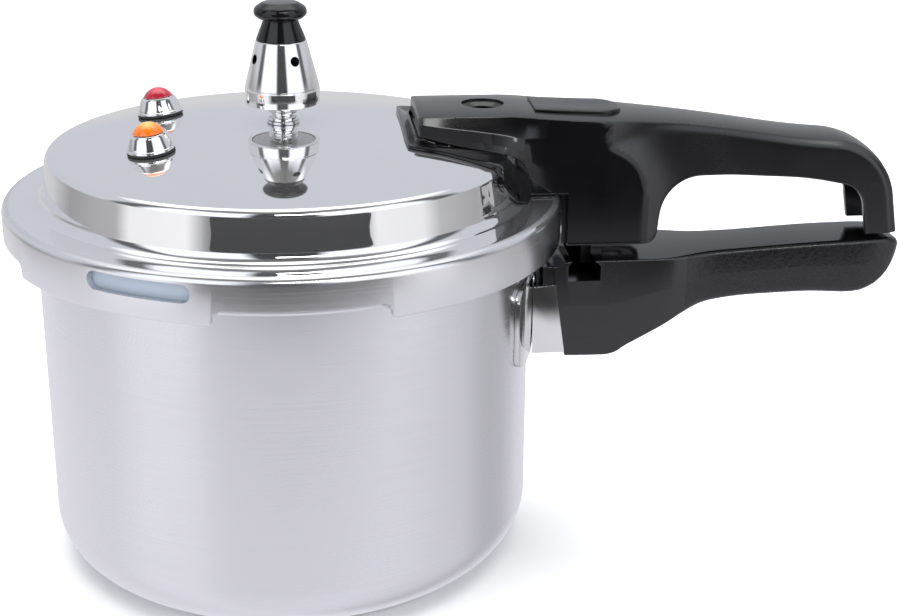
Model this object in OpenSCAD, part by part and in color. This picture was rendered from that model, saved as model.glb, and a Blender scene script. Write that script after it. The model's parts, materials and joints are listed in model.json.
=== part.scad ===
// Stovetop pressure cooker with an outer bayonet lid.
// Origin: centre of the pot's base, on the surface it stands on. +Z is up, +X points along the handles.

/* [Pot] */
// Outer radius of the pot wall
pot_r = 92.5; // [88:0.5:110]
// Height of the pot rim above the surface it stands on
pot_h = 130.6; // [118:0.2:165]
// Thickness of the pot wall
pot_wall = 2.5; // [1.5:0.1:4]
// Thickness of the pot base
pot_base = 4; // [2.5:0.1:8]
// Outside radius of the corner between base and wall
pot_corner_r = 20; // [8:1:30]

/* [Bayonet] */
// How far the plain rim flange stands out of the pot wall
flange_w = 5; // [4:0.1:7]
// Thickness of the plain rim flange
flange_t = 5; // [4:0.1:7]
// How far each pot lug stands out of the flange
lug_w = 3.8; // [3:0.1:5]
// Thickness of a pot lug
lug_t = 3.7; // [2.5:0.1:5]
// Vertical gap between a pot lug and the lid hook under it
lug_gap = 0.3; // [0.2:0.05:0.6]
// Width of each gap between the pot lugs, in degrees
lug_gap_deg = 32; // [28:1:34]
// Width of each lid hook, in degrees
hook_deg = 26; // [20:1:27]
// Thickness of a lid hook
hook_t = 2.1; // [1.6:0.1:3]
// Angle that the lid turns between closed and open
lid_turn_deg = 36; // [33:1:38]

/* [Lid] */
// Thickness of the lid sheet
lid_t = 2.2; // [1.6:0.1:3]
// Radial clearance between pot lugs and lid skirt
skirt_gap = 0.7; // [0.4:0.1:1.5]
// Height of the lid flange top above the pot rim
lid_flange_h = 10.6; // [9:0.1:14]
// Height of the domed wall above the lid flange
dome_h = 17.2; // [12:0.2:26]
// How far the crown's centre rises above the dome edge
crown_h = 8.2; // [5:0.1:14]
// Radius of the dome wall at its top
dome_r = 87.7; // [84:0.1:88.4]
// Radius of the crease between crown and dome wall
crease_r = 3; // [2.6:0.1:5]
// Outside radius of the rolled flange edge
roll_r = 2.7; // [2.5:0.1:4]
// How far the cut-out parts of the skirt end above the tall parts
skirt_step = 5.5; // [4.5:0.1:6]
// Length of the safety window in the skirt
window_l = 39.5; // [25:0.5:44]
// Height of the safety window
window_h = 6.6; // [4:0.1:7]
// Angle of the middle of the safety window, from the handle
window_deg = -118.5; // [-122:0.5:-116]

/* [Vent and weight] */
// Outer radius of the vent pipe tip
pipe_r = 3; // [2.5:0.1:4]
// Radius of the steam bore
steam_r = 1.4; // [1:0.1:1.8]
// Height of the vent pipe collar above the lid
collar_h = 6; // [4:0.2:9]
// Gap under the weight, above the collar
weight_gap = 1.3; // [0.8:0.1:3]
// Radius of the weight at its foot
weight_r = 13.9; // [12.5:0.1:18]
// Height of the straight band at the weight's foot
weight_band = 6; // [5:0.1:9]
// Height of the weight's tapered shell
weight_taper = 17.5; // [15:0.1:24]
// Radius of the weight shell at its top
weight_top_r = 9.35; // [8.4:0.05:11]
// Height of the neck of the weight's knob
knob_neck = 7.6; // [5:0.1:12]
// Height of the head of the weight's knob
knob_head = 6.3; // [5:0.1:9]
// Radius of the head of the weight's knob
knob_r = 9.8; // [8.5:0.1:12]

/* [Safety valves] */
// Distance of each safety valve from the lid's centre
valve_at = 54.2; // [48:0.2:60]
// Angle of each safety valve from the line opposite the handle
valve_deg = 30; // [22:0.5:38]
// Outer radius of the valve housing at its foot
valve_foot_r = 8.7; // [8:0.1:10]
// Outer radius of the valve housing at its top
valve_top_r = 6.5; // [6:0.1:7.5]
// Height of the valve housing above its seal
valve_h = 6; // [5:0.1:9]
// Radius of the coloured valve cap
valve_cap_r = 5.7; // [5:0.1:6]
// Height of the coloured valve cap
valve_cap_h = 3.6; // [2.5:0.1:5]
// Lift of the valve cap when it blows
valve_lift = 3; // [2:0.1:4]

/* [Handles] */
// Half width of the lid handle at its top front
grip_w = 18; // [16:0.2:20]
// Half width of both handles at the hand grip
hand_w = 12.8; // [11:0.2:15]
// Wall of the hollow lid handle
grip_wall = 2.6; // [2:0.1:3.4]
// Distance of the lid handle's tip from the lid's centre
grip_reach = 236.6; // [225:0.5:245]
// Distance of the pot handle's tip from the pot's centre
pot_grip_reach = 240.2; // [226:0.5:248]
// Half width of the pot handle at its root
root_w = 19.2; // [18:0.2:20.4]
// Radius of the indicator hole in the lid handle
sight_r = 5.5; // [4:0.1:6.5]
// Distance of the indicator hole from the lid's centre
sight_at = 74.6; // [73:0.2:76]
// Travel of the thumb slider
lock_travel = 7; // [5:0.5:7]
// Rise of the pressure indicator
float_rise = 4.5; // [3.5:0.1:4.6]

/* [Fastenings] */
// Shank radius of the handle screws
screw_r = 2; // [1.5:0.1:2.2]
// Shank radius of the bracket rivets
rivet_r = 2; // [1.5:0.1:2.2]
// Clearance round a shank in its hole
fit_gap = 0.06; // [0.03:0.01:0.1]

/* [Hidden] */
$fn = 96;
eps = 0.01;
face_gap = 0.1;
fine_fn = 32;

// Lid and rim levels
flange_r = pot_r + flange_w;
lug_r = flange_r + lug_w;
skirt_r = lug_r + skirt_gap + lid_t;
flange_z = pot_h + lid_flange_h;
dome_z = flange_z + dome_h;
crown_z = dome_z + crown_h;
crown_R = (dome_r * dome_r + crown_h * crown_h) / (2 * crown_h);
lug_z = pot_h - lug_t;
hook_z = lug_z - lug_gap - hook_t;
short_z = hook_z + skirt_step;
fillet_r = 4.2;
dome_foot_r = dome_r + 1.1;
roll_x = skirt_r - roll_r;
crease_x = dome_r - crease_r;

// Bayonet layout: the pattern of four repeats after half a turn
gap_centres = [-87.5, -168.5, 92.5, 11.5];

// Vent, weight and valve levels
collar_z = crown_z + face_gap;
collar_r = 5.5;
collar_top = collar_z + collar_h;
weight_z = collar_top + weight_gap;
band_z = weight_z + weight_band;
taper_z = band_z + weight_taper;
neck_z = taper_z + knob_neck;
knob_z = neck_z + knob_head;
core_r = 8;
pipe_top = weight_z + 5.6;
thread_r = 3.9;
washer_t = 1;
tail_l = 8;
spring_solid = 5;
clip_z = -tail_l - spring_solid - valve_lift;
spring_gap = 0.2;

// Handle levels
grip_top = flange_z + 30.4;
block_z = flange_z - 19.9;
leg_z = flange_z - 20;
parting_z = flange_z + 0.4;
front_x = 49;
block_x = skirt_r + 1;
block_end = 140;
pot_top_z = pot_h - 15.6;
float_at = sight_at - 0.9;
screw_at = [60, 12];
cover_screw_at = [128, 8];
insert_r = 3.2;
insert_z = crown_at(norm(screw_at)) + 0.9;
insert_h = 4.2;
slider_slope = 4.7;
slider_at = [109.5, 169];
notch_x = [block_x + 0.8, block_x + 13.3];
strap_z = flange_z + face_gap;
strap_t = 1.5;
tongue_z = pot_h - 40.6;
tongue_t = 4;
guard_t = 1;
neck_w = root_w - guard_t - 0.1;

// Pot bracket, its tongue and the foot of the pot handle
plate_t = 1.8;
plate_in = pot_r + face_gap;
plate_out = plate_in + plate_t;
plate_z = [pot_h - 50.1, pot_h - 19.1];
plate_corner_r = 6;
pot_rivet_z = [pot_h - 46.1, pot_h - 25.1];
tongue_end = 132;
pot_screw_xs = [113, 126];
root_z = pot_h - 51.1;
guard_back = [[101.2, pot_h - 24.7], [105.4, pot_h - 52.4]];

// Pieces inside the lid
window_top = flange_z - 2.9;
gasket_r = skirt_r - lid_t - 0.2;
vent_nut_z = crown_z - lid_t - 0.15;
core_top = weight_z + 12.7;
strap_in = dome_foot_r + 0.35;

// Pressure indicator, measured from the crown at its own place
pin_r = 2.5;
bush_r = pin_r + 0.08;
bush_tail = 8;
float_seal_z = -bush_tail - float_rise - 0.1;

// Lock rod, measured from the plane that the thumb slider runs on
rod_top = -4.2;
rod_h = 3;
leg_foot = pot_h - 21.6;

function crown_at(r) = crown_z - crown_R + sqrt(crown_R * crown_R - r * r);
function arc(c, r, a0, a1, n) = [for (i = [0:n]) c + r * [cos(a0 + (a1 - a0) * i / n), sin(a0 + (a1 - a0) * i / n)]];
function mirror_y(pts) = concat(pts, [for (i = [len(pts) - 1:-1:0]) [pts[i][0], -pts[i][1]]]);

// ---------- helpers ----------

// Places children on the lid's crown, square to it, at distance r and angle a
module on_crown(r, a) {
    rotate([0, 0, a])
        translate([r, 0, crown_at(r)])
            rotate([0, asin(r / crown_R), 0])
                children();
}

// Ring between two radii, from z0 up to z1
module ring(r_in, r_out, z0, z1) {
    translate([0, 0, z0])
        difference() {
            cylinder(r = r_out, h = z1 - z0);
            translate([0, 0, -1])
                cylinder(r = r_in, h = z1 - z0 + 2);
        }
}

// Part of a ring, w degrees wide, centred on angle a
module ring_sector(r_in, r_out, z0, z1, a, w) {
    rotate([0, 0, a - w / 2])
        rotate_extrude(angle = w)
            translate([r_in, z0])
                square([r_out - r_in, z1 - z0]);
}

// Hexagonal nut with a round bore
module nut(flat_r, bore_r, z0, z1) {
    translate([0, 0, z0])
        difference() {
            cylinder(r = flat_r, h = z1 - z0, $fn = 6);
            translate([0, 0, -1])
                cylinder(r = bore_r, h = z1 - z0 + 2);
        }
}

// Profile in the X-Z plane, drawn out to both sides of the handle's middle plane
module side_plate(half_w) {
    rotate([90, 0, 0])
        linear_extrude(height = 2 * half_w, center = true)
            children();
}

// Helical wire spring along +Z, from z0 to z1
module coil_spring(coil_r, wire_r, z0, z1, turns) {
    sides = 6;
    steps = 12;
    n = turns * steps;
    rings = [for (i = [0:n])
        let (a = 360 * i / steps, z = z0 + wire_r + (z1 - z0 - 2 * wire_r) * i / n)
            [for (j = [0:sides - 1])
                let (b = 360 * j / sides, r = coil_r + wire_r * cos(b))
                    [r * cos(a), r * sin(a), z + wire_r * sin(b)]]];
    points = [for (r = rings) for (p = r) p];
    walls = [for (i = [0:n - 1]) for (j = [0:sides - 1])
        let (k = (j + 1) % sides)
            each [[i * sides + j, i * sides + k, (i + 1) * sides + k],
                  [i * sides + j, (i + 1) * sides + k, (i + 1) * sides + j]]];
    start = [[for (j = [sides - 1:-1:0]) j]];
    end = [[for (j = [0:sides - 1]) n * sides + j]];
    polyhedron(points = points, faces = concat(walls, start, end), convexity = 8);
}

// Screw along +Z with its head at the bottom
module screw(shank_r, head_r, head_h, length) {
    difference() {
        union() {
            cylinder(r = head_r, h = head_h);
            cylinder(r = shank_r, h = length);
        }
        translate([-head_r, -0.5, -eps])
            cube([2 * head_r, 1, head_h * 0.5]);
    }
}

// ---------- pot ----------

// Closed profile of the pot wall and base
module pot_profile() {
    inner_c = pot_corner_r - pot_wall;
    polygon(concat(
        [[0, 0], [pot_r - pot_corner_r, 0]],
        arc([pot_r - pot_corner_r, pot_corner_r], pot_corner_r, -90, 0, 10),
        [[pot_r, pot_h - flange_t], [flange_r, pot_h - flange_t], [flange_r, pot_h], [pot_r - pot_wall, pot_h]],
        arc([pot_r - pot_corner_r, pot_base + inner_c], inner_c, 0, -90, 8),
        [[0, pot_base]]
    ));
}

module pot_lugs() {
    difference() {
        ring(flange_r - 1, lug_r, lug_z, pot_h);
        for (a = gap_centres)
            ring_sector(flange_r - 2, lug_r + 2, lug_z - 1, pot_h + 1, a, lug_gap_deg);
    }
}

// Places children at each bracket rivet, with +Z pointing out of the pot
module at_pot_rivets() {
    for (a = [-7, 7])
        for (z = pot_rivet_z)
            rotate([0, 0, a])
                translate([pot_r, 0, z])
                    rotate([0, 90, 0])
                        children();
}

module pot_body() {
    color([0.78, 0.79, 0.8])
        difference() {
            union() {
                rotate_extrude()
                    pot_profile();
                pot_lugs();
            }
            at_pot_rivets()
                cylinder(r = rivet_r + fit_gap, h = 4 * pot_wall, center = true, $fn = fine_fn);
        }
}

module pot_bracket() {
    half_deg = 27;
    color([0.82, 0.82, 0.83])
        difference() {
            union() {
                ring_sector(plate_in, plate_out, plate_z[0], plate_z[1], 0, 2 * half_deg);
                translate([plate_in + 0.8, -7, tongue_z])
                    cube([tongue_end - plate_in - 0.8, 14, tongue_t]);
            }
            for (s = [-1, 1])
                rotate([0, 0, s * (half_deg - 2)])
                    translate([pot_r, 0, 0])
                        plate_corners(s);
            at_pot_rivets()
                cylinder(r = rivet_r + fit_gap, h = 12, center = true, $fn = fine_fn);
            for (x = pot_screw_xs)
                translate([x, 0, tongue_z - 1])
                    cylinder(r = screw_r + fit_gap, h = tongue_t + 2, $fn = fine_fn);
        }
}

// Rounds the two outer corners of one wing of the bracket plate
module plate_corners(s) {
    r = plate_corner_r;
    for (up = [-1, 1])
        translate([-4, 0, up > 0 ? plate_z[1] - r : plate_z[0] + r])
            rotate([0, 90, 0])
                difference() {
                    translate([up > 0 ? -r - 1 : 0, s > 0 ? -2 : -8, 0])
                        cube([r + 1, 10, 8]);
                    translate([0, -s * 2.5, -1])
                        cylinder(r = r, h = 10);
                }
}

module pot_rivets() {
    color([0.75, 0.76, 0.77])
        at_pot_rivets() {
            translate([0, 0, -pot_wall - 1.3])
                cylinder(r = rivet_r, h = pot_wall + 1.3 + plate_t + 0.5, $fn = fine_fn);
            translate([0, 0, -pot_wall - 1.6])
                cylinder(r1 = 2.6, r2 = 3.6, h = 1.2, $fn = fine_fn);
            translate([0, 0, plate_t + 0.3])
                cylinder(r1 = 3.6, r2 = 2.8, h = 1.1, $fn = fine_fn);
        }
}

// Side outline of the steel heat shield round the root of the pot handle
module guard_profile(down) {
    polygon([
        [88, pot_h - 26.3], guard_back[0], guard_back[1],
        [guard_back[1][0] + 0.1, root_z - 0.2 - down], [88, root_z - 0.2 - down]
    ]);
}

module flame_guard() {
    color([0.85, 0.85, 0.86])
        difference() {
            side_plate(root_w)
                guard_profile(guard_t);
            side_plate(root_w - guard_t)
                translate([0, guard_t])
                    guard_profile(0);
            translate([80, -root_w + guard_t, root_z - 0.2])
                cube([40, 2 * (root_w - guard_t), 40]);
            cylinder(r = plate_out + 0.3, h = 200);
        }
}

// Side outline of the whole pot handle
module pot_handle_profile() {
    t = pot_grip_reach;
    polygon(concat(
        [[90, root_z], [90, pot_h - 21.6]],
        arc([98.5, pot_h - 21.6], 4, 180, 90, 4),
        [
            [102, pot_h - 17.2], [block_x, pot_top_z], [140, pot_top_z + 0.2], [t - 30, pot_top_z + 3.4],
            [t - 9, pot_top_z + 3.9]
        ],
        arc([t - 6, pot_top_z - 2.2], 6, 80, -8, 5),
        arc([t - 18, pot_top_z - 0.6], 17.2, -22, -78, 5),
        [[t - 22, pot_h - 33.6], [t - 38, pot_h - 32.6], [t - 53, pot_h - 33.2], [t - 62, pot_h - 33.7]],
        [[162.6, pot_h - 35.9], [151.3, pot_h - 39.6], [143.5, pot_h - 43.4], [135, pot_h - 48]],
        arc([121, pot_h - 43], 11.6, -45, -90, 4),
        [[106.3, pot_h - 54.6], [guard_back[1][0] + 0.3, root_z]]
    ));
}

// Plan outline of the pot handle
module pot_handle_plan() {
    t = pot_grip_reach;
    polygon(mirror_y([
        [88, -root_w], [144, -root_w], [151, -root_w + 2], [158, -hand_w - 2.4], [168, -hand_w - 0.9],
        [t - 16, -hand_w - 0.6], [t - 6, -hand_w + 1.2], [t - 1.5, -hand_w + 5], [t + 0.5, -hand_w + 9]
    ]));
}

module pot_handle() {
    color([0.07, 0.07, 0.075])
        difference() {
            intersection() {
                side_plate(root_w + 2)
                    pot_handle_profile();
                linear_extrude(height = 200)
                    pot_handle_plan();
            }
            // the neck is slimmer than the root by the shield that wraps it
            for (s = [-1, 1])
                translate([0, s * (neck_w + 5), 0])
                    rotate([90, 0, 0])
                        linear_extrude(height = 10, center = true)
                            polygon([
                                [80, 60], [80, 135], [guard_back[0][0] - 2, 135], guard_back[0] + [0.1, 0],
                                guard_back[1] + [0.1, 0], [guard_back[1][0] + 0.1, 60]
                            ]);
            // clear of the bracket plate and its rivet heads
            cylinder(r = plate_out + 2, h = 200);
            // pocket for the bracket tongue
            translate([90, -7.3, tongue_z - 0.2])
                cube([tongue_end - 90 + 0.5, 14.6, tongue_t + 0.4]);
            // screws from below
            for (x = pot_screw_xs)
                translate([x, 0, 0]) {
                    cylinder(r = screw_r + 0.4, h = tongue_z + 8, $fn = fine_fn);
                    cylinder(r = 4.4, h = root_z + 0.5, $fn = fine_fn);
                }
            // notch that the lid's latch swings into
            translate([notch_x[0], -root_w - 1, pot_h - 23.4])
                cube([notch_x[1] - notch_x[0], root_w + 8, 40]);
        }
}

module pot_handle_screws() {
    color([0.7, 0.7, 0.72])
        for (x = pot_screw_xs)
            translate([x, 0, root_z - 1.9])
                screw(screw_r, 4, 2.3, tongue_z + tongue_t + 2.9 - root_z);
}

// ---------- lid ----------

// Closed profile of the lid sheet, down to the short parts of the skirt
module lid_profile() {
    a_out = acos(crease_x / crown_R);
    a_in = acos((crease_x - 0.5) / (crown_R - lid_t));
    zc = crown_z - crown_R;
    crease_z = crown_at(crease_x) - crease_r;
    inner_crease = max(crease_r - lid_t, 0.3);
    polygon(concat(
        [[0, crown_z - lid_t], [0, crown_z]],
        arc([0, zc], crown_R, 90, a_out, 12),
        arc([crease_x, crease_z], crease_r, 75, 0, 5),
        arc([dome_foot_r + fillet_r, flange_z + fillet_r], fillet_r, 180, 270, 6),
        arc([roll_x, flange_z - roll_r], roll_r, 90, 0, 6),
        [[skirt_r, short_z], [skirt_r - lid_t, short_z]],
        arc([roll_x, flange_z - roll_r], roll_r - lid_t, 0, 90, 3),
        arc([dome_foot_r + fillet_r, flange_z + fillet_r], fillet_r + lid_t, 270, 180, 6),
        arc([crease_x, crease_z], inner_crease, 0, 75, 3),
        arc([0, zc], crown_R - lid_t, a_in, 90, 10)
    ));
}

// Solid under the lid's outer surface, grown by d, for pieces that hug the lid
module lid_envelope(d) {
    a_out = acos(crease_x / crown_R);
    zc = crown_z - crown_R;
    crease_z = crown_at(crease_x) - crease_r;
    rotate_extrude()
        polygon(concat(
            [[0, 100], [0, crown_z + d]],
            arc([0, zc], crown_R + d, 90, a_out, 12),
            arc([crease_x, crease_z], crease_r + d, 75, 0, 5),
            arc([dome_foot_r + fillet_r, flange_z + fillet_r], fillet_r - d, 180, 270, 4),
            arc([roll_x, flange_z - roll_r], roll_r + d, 90, 0, 4),
            [[skirt_r + d, 100]]
        ));
}

// Window and cut-out shape, standing on its middle, cut radially through the skirt
module skirt_cutter(w, z0, z1, corner_r, a) {
    rotate([0, 0, a])
        translate([skirt_r - 8, 0, z0])
            rotate([90, 0, 90])
                linear_extrude(height = 16)
                    union() {
                        translate([-w / 2 + corner_r, 0])
                            square([w - 2 * corner_r, z1 - z0]);
                        translate([-w / 2, corner_r])
                            square([w, max(z1 - z0 - 2 * corner_r, eps)]);
                        for (x = [-w / 2 + corner_r, w / 2 - corner_r])
                            for (y = [corner_r, z1 - z0 - corner_r])
                                translate([x, y])
                                    circle(r = corner_r, $fn = fine_fn);
                    }
}

module lid_shell() {
    cut_w = 2 * skirt_r * sin(lug_gap_deg / 2 + 0.5);
    color([0.8, 0.81, 0.82])
        difference() {
            union() {
                rotate_extrude()
                    lid_profile();
                difference() {
                    ring(skirt_r - lid_t, skirt_r, hook_z, short_z + eps);
                    for (a = gap_centres)
                        skirt_cutter(cut_w, hook_z - 6, short_z, 3, a);
                }
                for (a = gap_centres)
                    ring_sector(flange_r + 0.5, skirt_r - lid_t + 0.2, hook_z, hook_z + hook_t, a + lid_turn_deg, hook_deg);
            }
            skirt_cutter(window_l, window_top - window_h, window_top, window_h / 2 - eps, window_deg);
            cylinder(r = thread_r + fit_gap, h = 300);
            for (s = [-1, 1])
                on_crown(valve_at, 180 + s * valve_deg)
                    cylinder(r = thread_r + fit_gap, h = 20, center = true);
            on_crown(float_at, 0)
                cylinder(r = thread_r + fit_gap, h = 20, center = true);
            for (s = [-1, 1])
                translate([screw_at[0], s * screw_at[1], crown_z - 20])
                    cylinder(r = screw_r + fit_gap, h = 40, $fn = fine_fn);
            at_bracket_rivets()
                cylinder(r = rivet_r + fit_gap, h = 16, center = true, $fn = fine_fn);
        }
}

module lid_gasket() {
    top = flange_z - lid_t - 0.2;
    foot = pot_h + 0.2;
    color([0.55, 0.58, 0.62])
        rotate_extrude()
            polygon([
                [94, foot], [gasket_r, foot], [gasket_r, top - 0.6], [gasket_r - 0.6, top], [94.5, top],
                [94.5, top - 2.2], [gasket_r - 2.6, top - 2.2], [gasket_r - 2.6, foot + 2], [94, foot + 1]
            ]);
}

// ---------- vent pipe ----------

module vent_pipe() {
    color([0.8, 0.8, 0.8])
        difference() {
            rotate_extrude()
                polygon(concat(
                    [[0, crown_z - 14], [thread_r, crown_z - 14], [thread_r, collar_z + washer_t]],
                    [[collar_r, collar_z + washer_t], [collar_r, collar_z + 2.6], [collar_r - 0.9, collar_z + 3]],
                    [[collar_r - 0.9, collar_z + 3.5], [collar_r, collar_z + 3.9], [collar_r, collar_top - 0.5]],
                    [[collar_r - 0.5, collar_top], [pipe_r, collar_top]],
                    [[pipe_r, pipe_top - 1.2], [steam_r + 0.4, pipe_top], [0, pipe_top]]
                ));
            cylinder(r = steam_r, h = 300, $fn = fine_fn);
        }
}

module vent_seal() {
    color([0.75, 0.75, 0.76])
        ring(thread_r + 0.2, collar_r + 0.6, collar_z, collar_z + washer_t - 0.05);
}

module vent_nut() {
    color([0.72, 0.72, 0.74])
        nut(7.6, thread_r + fit_gap, vent_nut_z - 4.6, vent_nut_z);
}

// Slotted cap that keeps food out of the vent pipe
module vent_filter() {
    cap_r = 10.5;
    top = vent_nut_z - 4.8;
    foot = top - 9;
    color([0.76, 0.76, 0.78])
        difference() {
            translate([0, 0, foot])
                cylinder(r = cap_r, h = top - foot);
            translate([0, 0, foot + 1.2])
                cylinder(r = cap_r - 1.2, h = top - foot - 2.4);
            translate([0, 0, foot + 2])
                cylinder(r = thread_r + fit_gap, h = 20);
            for (i = [0:9])
                rotate([0, 0, 36 * i])
                    translate([cap_r - 3, -1, foot + 2])
                        cube([6, 2, 4.6]);
        }
}

// ---------- weight ----------

module weight_core() {
    color([0.7, 0.6, 0.35])
        difference() {
            rotate_extrude()
                polygon([
                    [0, weight_z + 0.2], [11.9, weight_z + 0.2], [11.9, weight_z + 2.6],
                    [core_r, weight_z + 2.6], [core_r, core_top], [0, core_top]
                ]);
            rotate_extrude()
                polygon([
                    [0, weight_z - 1], [pipe_r + 1, weight_z - 1], [pipe_r + 0.1, weight_z + 0.6],
                    [pipe_r + 0.1, pipe_top - 1.2 + 0.1], [0.8, pipe_top + 1.2], [0.8, core_top + 1], [0, core_top + 1]
                ]);
        }
}

module weight_shell() {
    slope = (weight_r - weight_top_r) / weight_taper;
    hole_z = band_z + weight_taper * 0.64;
    color([0.86, 0.86, 0.87])
        difference() {
            rotate_extrude()
                polygon([
                    [12.2, weight_z], [weight_r - 0.4, weight_z], [weight_r, weight_z + 0.4], [weight_r, band_z],
                    [weight_top_r, taper_z], [3.06, taper_z], [3.06, taper_z - 2.4], [6, taper_z - 4.4],
                    [6, core_top + 0.2], [core_r + fit_gap, core_top + 0.2], [core_r + fit_gap, weight_z + 2.8],
                    [12.2, weight_z + 2.8]
                ]);
            for (a = [26, 116, 206, 296])
                rotate([0, 0, a - 90])
                    translate([3, 0, hole_z])
                        rotate([0, 90, 0])
                            cylinder(r = 1.75, h = 20, $fn = fine_fn);
        }
}

module weight_knob() {
    head_z = neck_z + 0.5;
    color([0.07, 0.07, 0.07])
        rotate_extrude()
            polygon(concat(
                [[0, taper_z - 3.4], [3, taper_z - 3.4], [3, taper_z + 0.05], [weight_top_r - 0.1, taper_z + 0.05]],
                [[6.25, neck_z], [knob_r - 1.4, head_z]],
                arc([knob_r - 1.5, head_z + 1.5], 1.5, -90, 30, 5),
                arc([knob_r - 4.4, knob_z - 3.6], 3.6, 45, 90, 4),
                [[0, knob_z]]
            ));
}

// ---------- safety valves ----------

module at_valve(side) {
    on_crown(valve_at, 180 + side * valve_deg)
        children();
}

module valve_housing() {
    foot = face_gap + washer_t;
    top = foot + valve_h;
    color([0.85, 0.85, 0.86])
        difference() {
            rotate_extrude()
                polygon([
                    [0, -tail_l], [thread_r, -tail_l], [thread_r, foot], [valve_foot_r, foot],
                    [valve_foot_r, foot + 0.8], [valve_foot_r - 0.7, foot + 1.4], [valve_top_r, top - 0.5],
                    [valve_top_r - 0.5, top], [0, top]
                ]);
            translate([0, 0, foot + 1.4])
                cylinder(r = valve_cap_r - 1.4, h = 20);
            translate([0, 0, -20])
                cylinder(r = 2.2, h = 40, $fn = fine_fn);
        }
}

module valve_seal() {
    color([0.06, 0.06, 0.06])
        ring(thread_r + 0.2, valve_foot_r - 0.1, face_gap, face_gap + washer_t - 0.05);
}

module valve_nut() {
    color([0.72, 0.72, 0.74])
        nut(7.4, thread_r + fit_gap, -lid_t - 4.2, -lid_t - 0.15);
}

// Coloured cap and its stem, which lift together
module valve_cap(tint) {
    seat = face_gap + washer_t + valve_h + 0.1;
    cap_R = (valve_cap_r * valve_cap_r + valve_cap_h * valve_cap_h) / (2 * valve_cap_h);
    half = asin(valve_cap_r / cap_R);
    color(tint) {
        rotate_extrude()
            polygon(concat(
                [[0, seat], [valve_cap_r, seat]],
                arc([0, seat + valve_cap_h - cap_R], cap_R, 90 - half, 90, 8)
            ));
        translate([0, 0, clip_z - 1.4])
            cylinder(r = 1.4, h = seat - clip_z + 1.5, $fn = fine_fn);
    }
}

module valve_spring() {
    color([0.6, 0.6, 0.62])
        coil_spring(2.7, 0.4, clip_z + spring_gap, -tail_l - spring_gap, 4);
}

module valve_clip() {
    color([0.6, 0.6, 0.62])
        ring(1.4 + fit_gap, 3.5, clip_z - 1, clip_z);
}

module red_valve_housing() { at_valve(-1) valve_housing(); }
module red_valve_seal() { at_valve(-1) valve_seal(); }
module red_valve_nut() { at_valve(-1) valve_nut(); }
module red_valve_cap() { at_valve(-1) valve_cap([0.8, 0.1, 0.15]); }
module red_valve_spring() { at_valve(-1) valve_spring(); }
module red_valve_clip() { at_valve(-1) valve_clip(); }
module orange_valve_housing() { at_valve(1) valve_housing(); }
module orange_valve_seal() { at_valve(1) valve_seal(); }
module orange_valve_nut() { at_valve(1) valve_nut(); }
module orange_valve_cap() { at_valve(1) valve_cap([0.95, 0.55, 0.1]); }
module orange_valve_spring() { at_valve(1) valve_spring(); }
module orange_valve_clip() { at_valve(1) valve_clip(); }

// ---------- pressure indicator ----------

module float_bush() {
    color([0.75, 0.75, 0.77])
        on_crown(float_at, 0)
            difference() {
                union() {
                    translate([0, 0, -bush_tail])
                        cylinder(r = thread_r, h = bush_tail + 0.5);
                    translate([0, 0, 0.15])
                        cylinder(r = 5.6, h = 1.1);
                }
                translate([0, 0, -10])
                    cylinder(r = bush_r, h = 20, $fn = fine_fn);
            }
}

module float_nut() {
    color([0.72, 0.72, 0.74])
        on_crown(float_at, 0)
            nut(6.8, thread_r + fit_gap, -lid_t - 3.6, -lid_t - 0.15);
}

module float_seal() {
    color([0.65, 0.15, 0.12])
        on_crown(float_at, 0)
            ring(pin_r + 0.35, 4.6, float_seal_z - 1.4, float_seal_z);
}

module float_pin() {
    color([0.75, 0.15, 0.12])
        on_crown(float_at, 0)
            union() {
                translate([0, 0, float_seal_z - 2])
                    cylinder(r = pin_r, h = 4.4 - float_seal_z, $fn = fine_fn);
                translate([0, 0, float_seal_z - 3.2])
                    cylinder(r = 5.2, h = 1.7);
            }
}

// ---------- lid handle ----------

// Outer side outline of the lid handle's cover
module cover_profile() {
    t = grip_reach;
    polygon(concat(
        [
            [front_x, 150], [front_x, grip_top - 0.4], [front_x + 1.5, grip_top], [82, grip_top - 0.2],
            [100, grip_top - 1.9], [120, grip_top - 3.5], [140, grip_top - 5.3], [155, grip_top - 7.3],
            [172, grip_top - 9.8], [187, grip_top - 12], [t - 28.4, grip_top - 14.4]
        ],
        arc([t - 29.5, grip_top - 41.5], 27.3, 86, 12, 8),
        [[t, leg_z], [t - 11.5, leg_z], [t - 12.6, leg_z + 7]],
        arc([t - 24, leg_z + 8.5], 11, 2, 78, 6),
        [[t - 39, grip_top - 28.2], [t - 55, grip_top - 26.8], [t - 70, grip_top - 25.6]],
        arc([156.5, grip_top - 41.5], 16, 90, 180, 8),
        [[block_end, block_z + 3.5], [block_end - 3, block_z], [block_x, block_z], [block_x, parting_z], [front_x, parting_z]]
    ));
}

// The same outline set in by the wall along the top and the back, open below
module cover_cavity() {
    t = grip_reach;
    w = grip_wall;
    polygon(concat(
        [
            [front_x + w, 120], [front_x + w, grip_top - w], [82, grip_top - w - 0.2], [100, grip_top - w - 1.9],
            [120, grip_top - w - 3.5], [140, grip_top - w - 5.3], [155, grip_top - w - 7.3],
            [172, grip_top - w - 9.8], [187, grip_top - w - 12], [t - 28.4, grip_top - w - 14.4]
        ],
        arc([t - 29.5, grip_top - 41.5], 27.3 - w, 86, 12, 8),
        [[t - w, leg_z - 5], [block_end + 20, leg_z - 5], [block_end + 20, 120]]
    ));
}

// Plan outline of the cover, set in by d
module cover_plan(d) {
    t = grip_reach;
    polygon(mirror_y([
        [front_x - 1 + d, -root_w + 0.4 + d], [126, -root_w + 0.4 + d], [140, -15.6 + d], [150, -14 + d],
        [163, -hand_w + d], [t - 25, -hand_w + 1.4 + d], [t + 1, -hand_w + 2 + d]
    ]));
}

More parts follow.
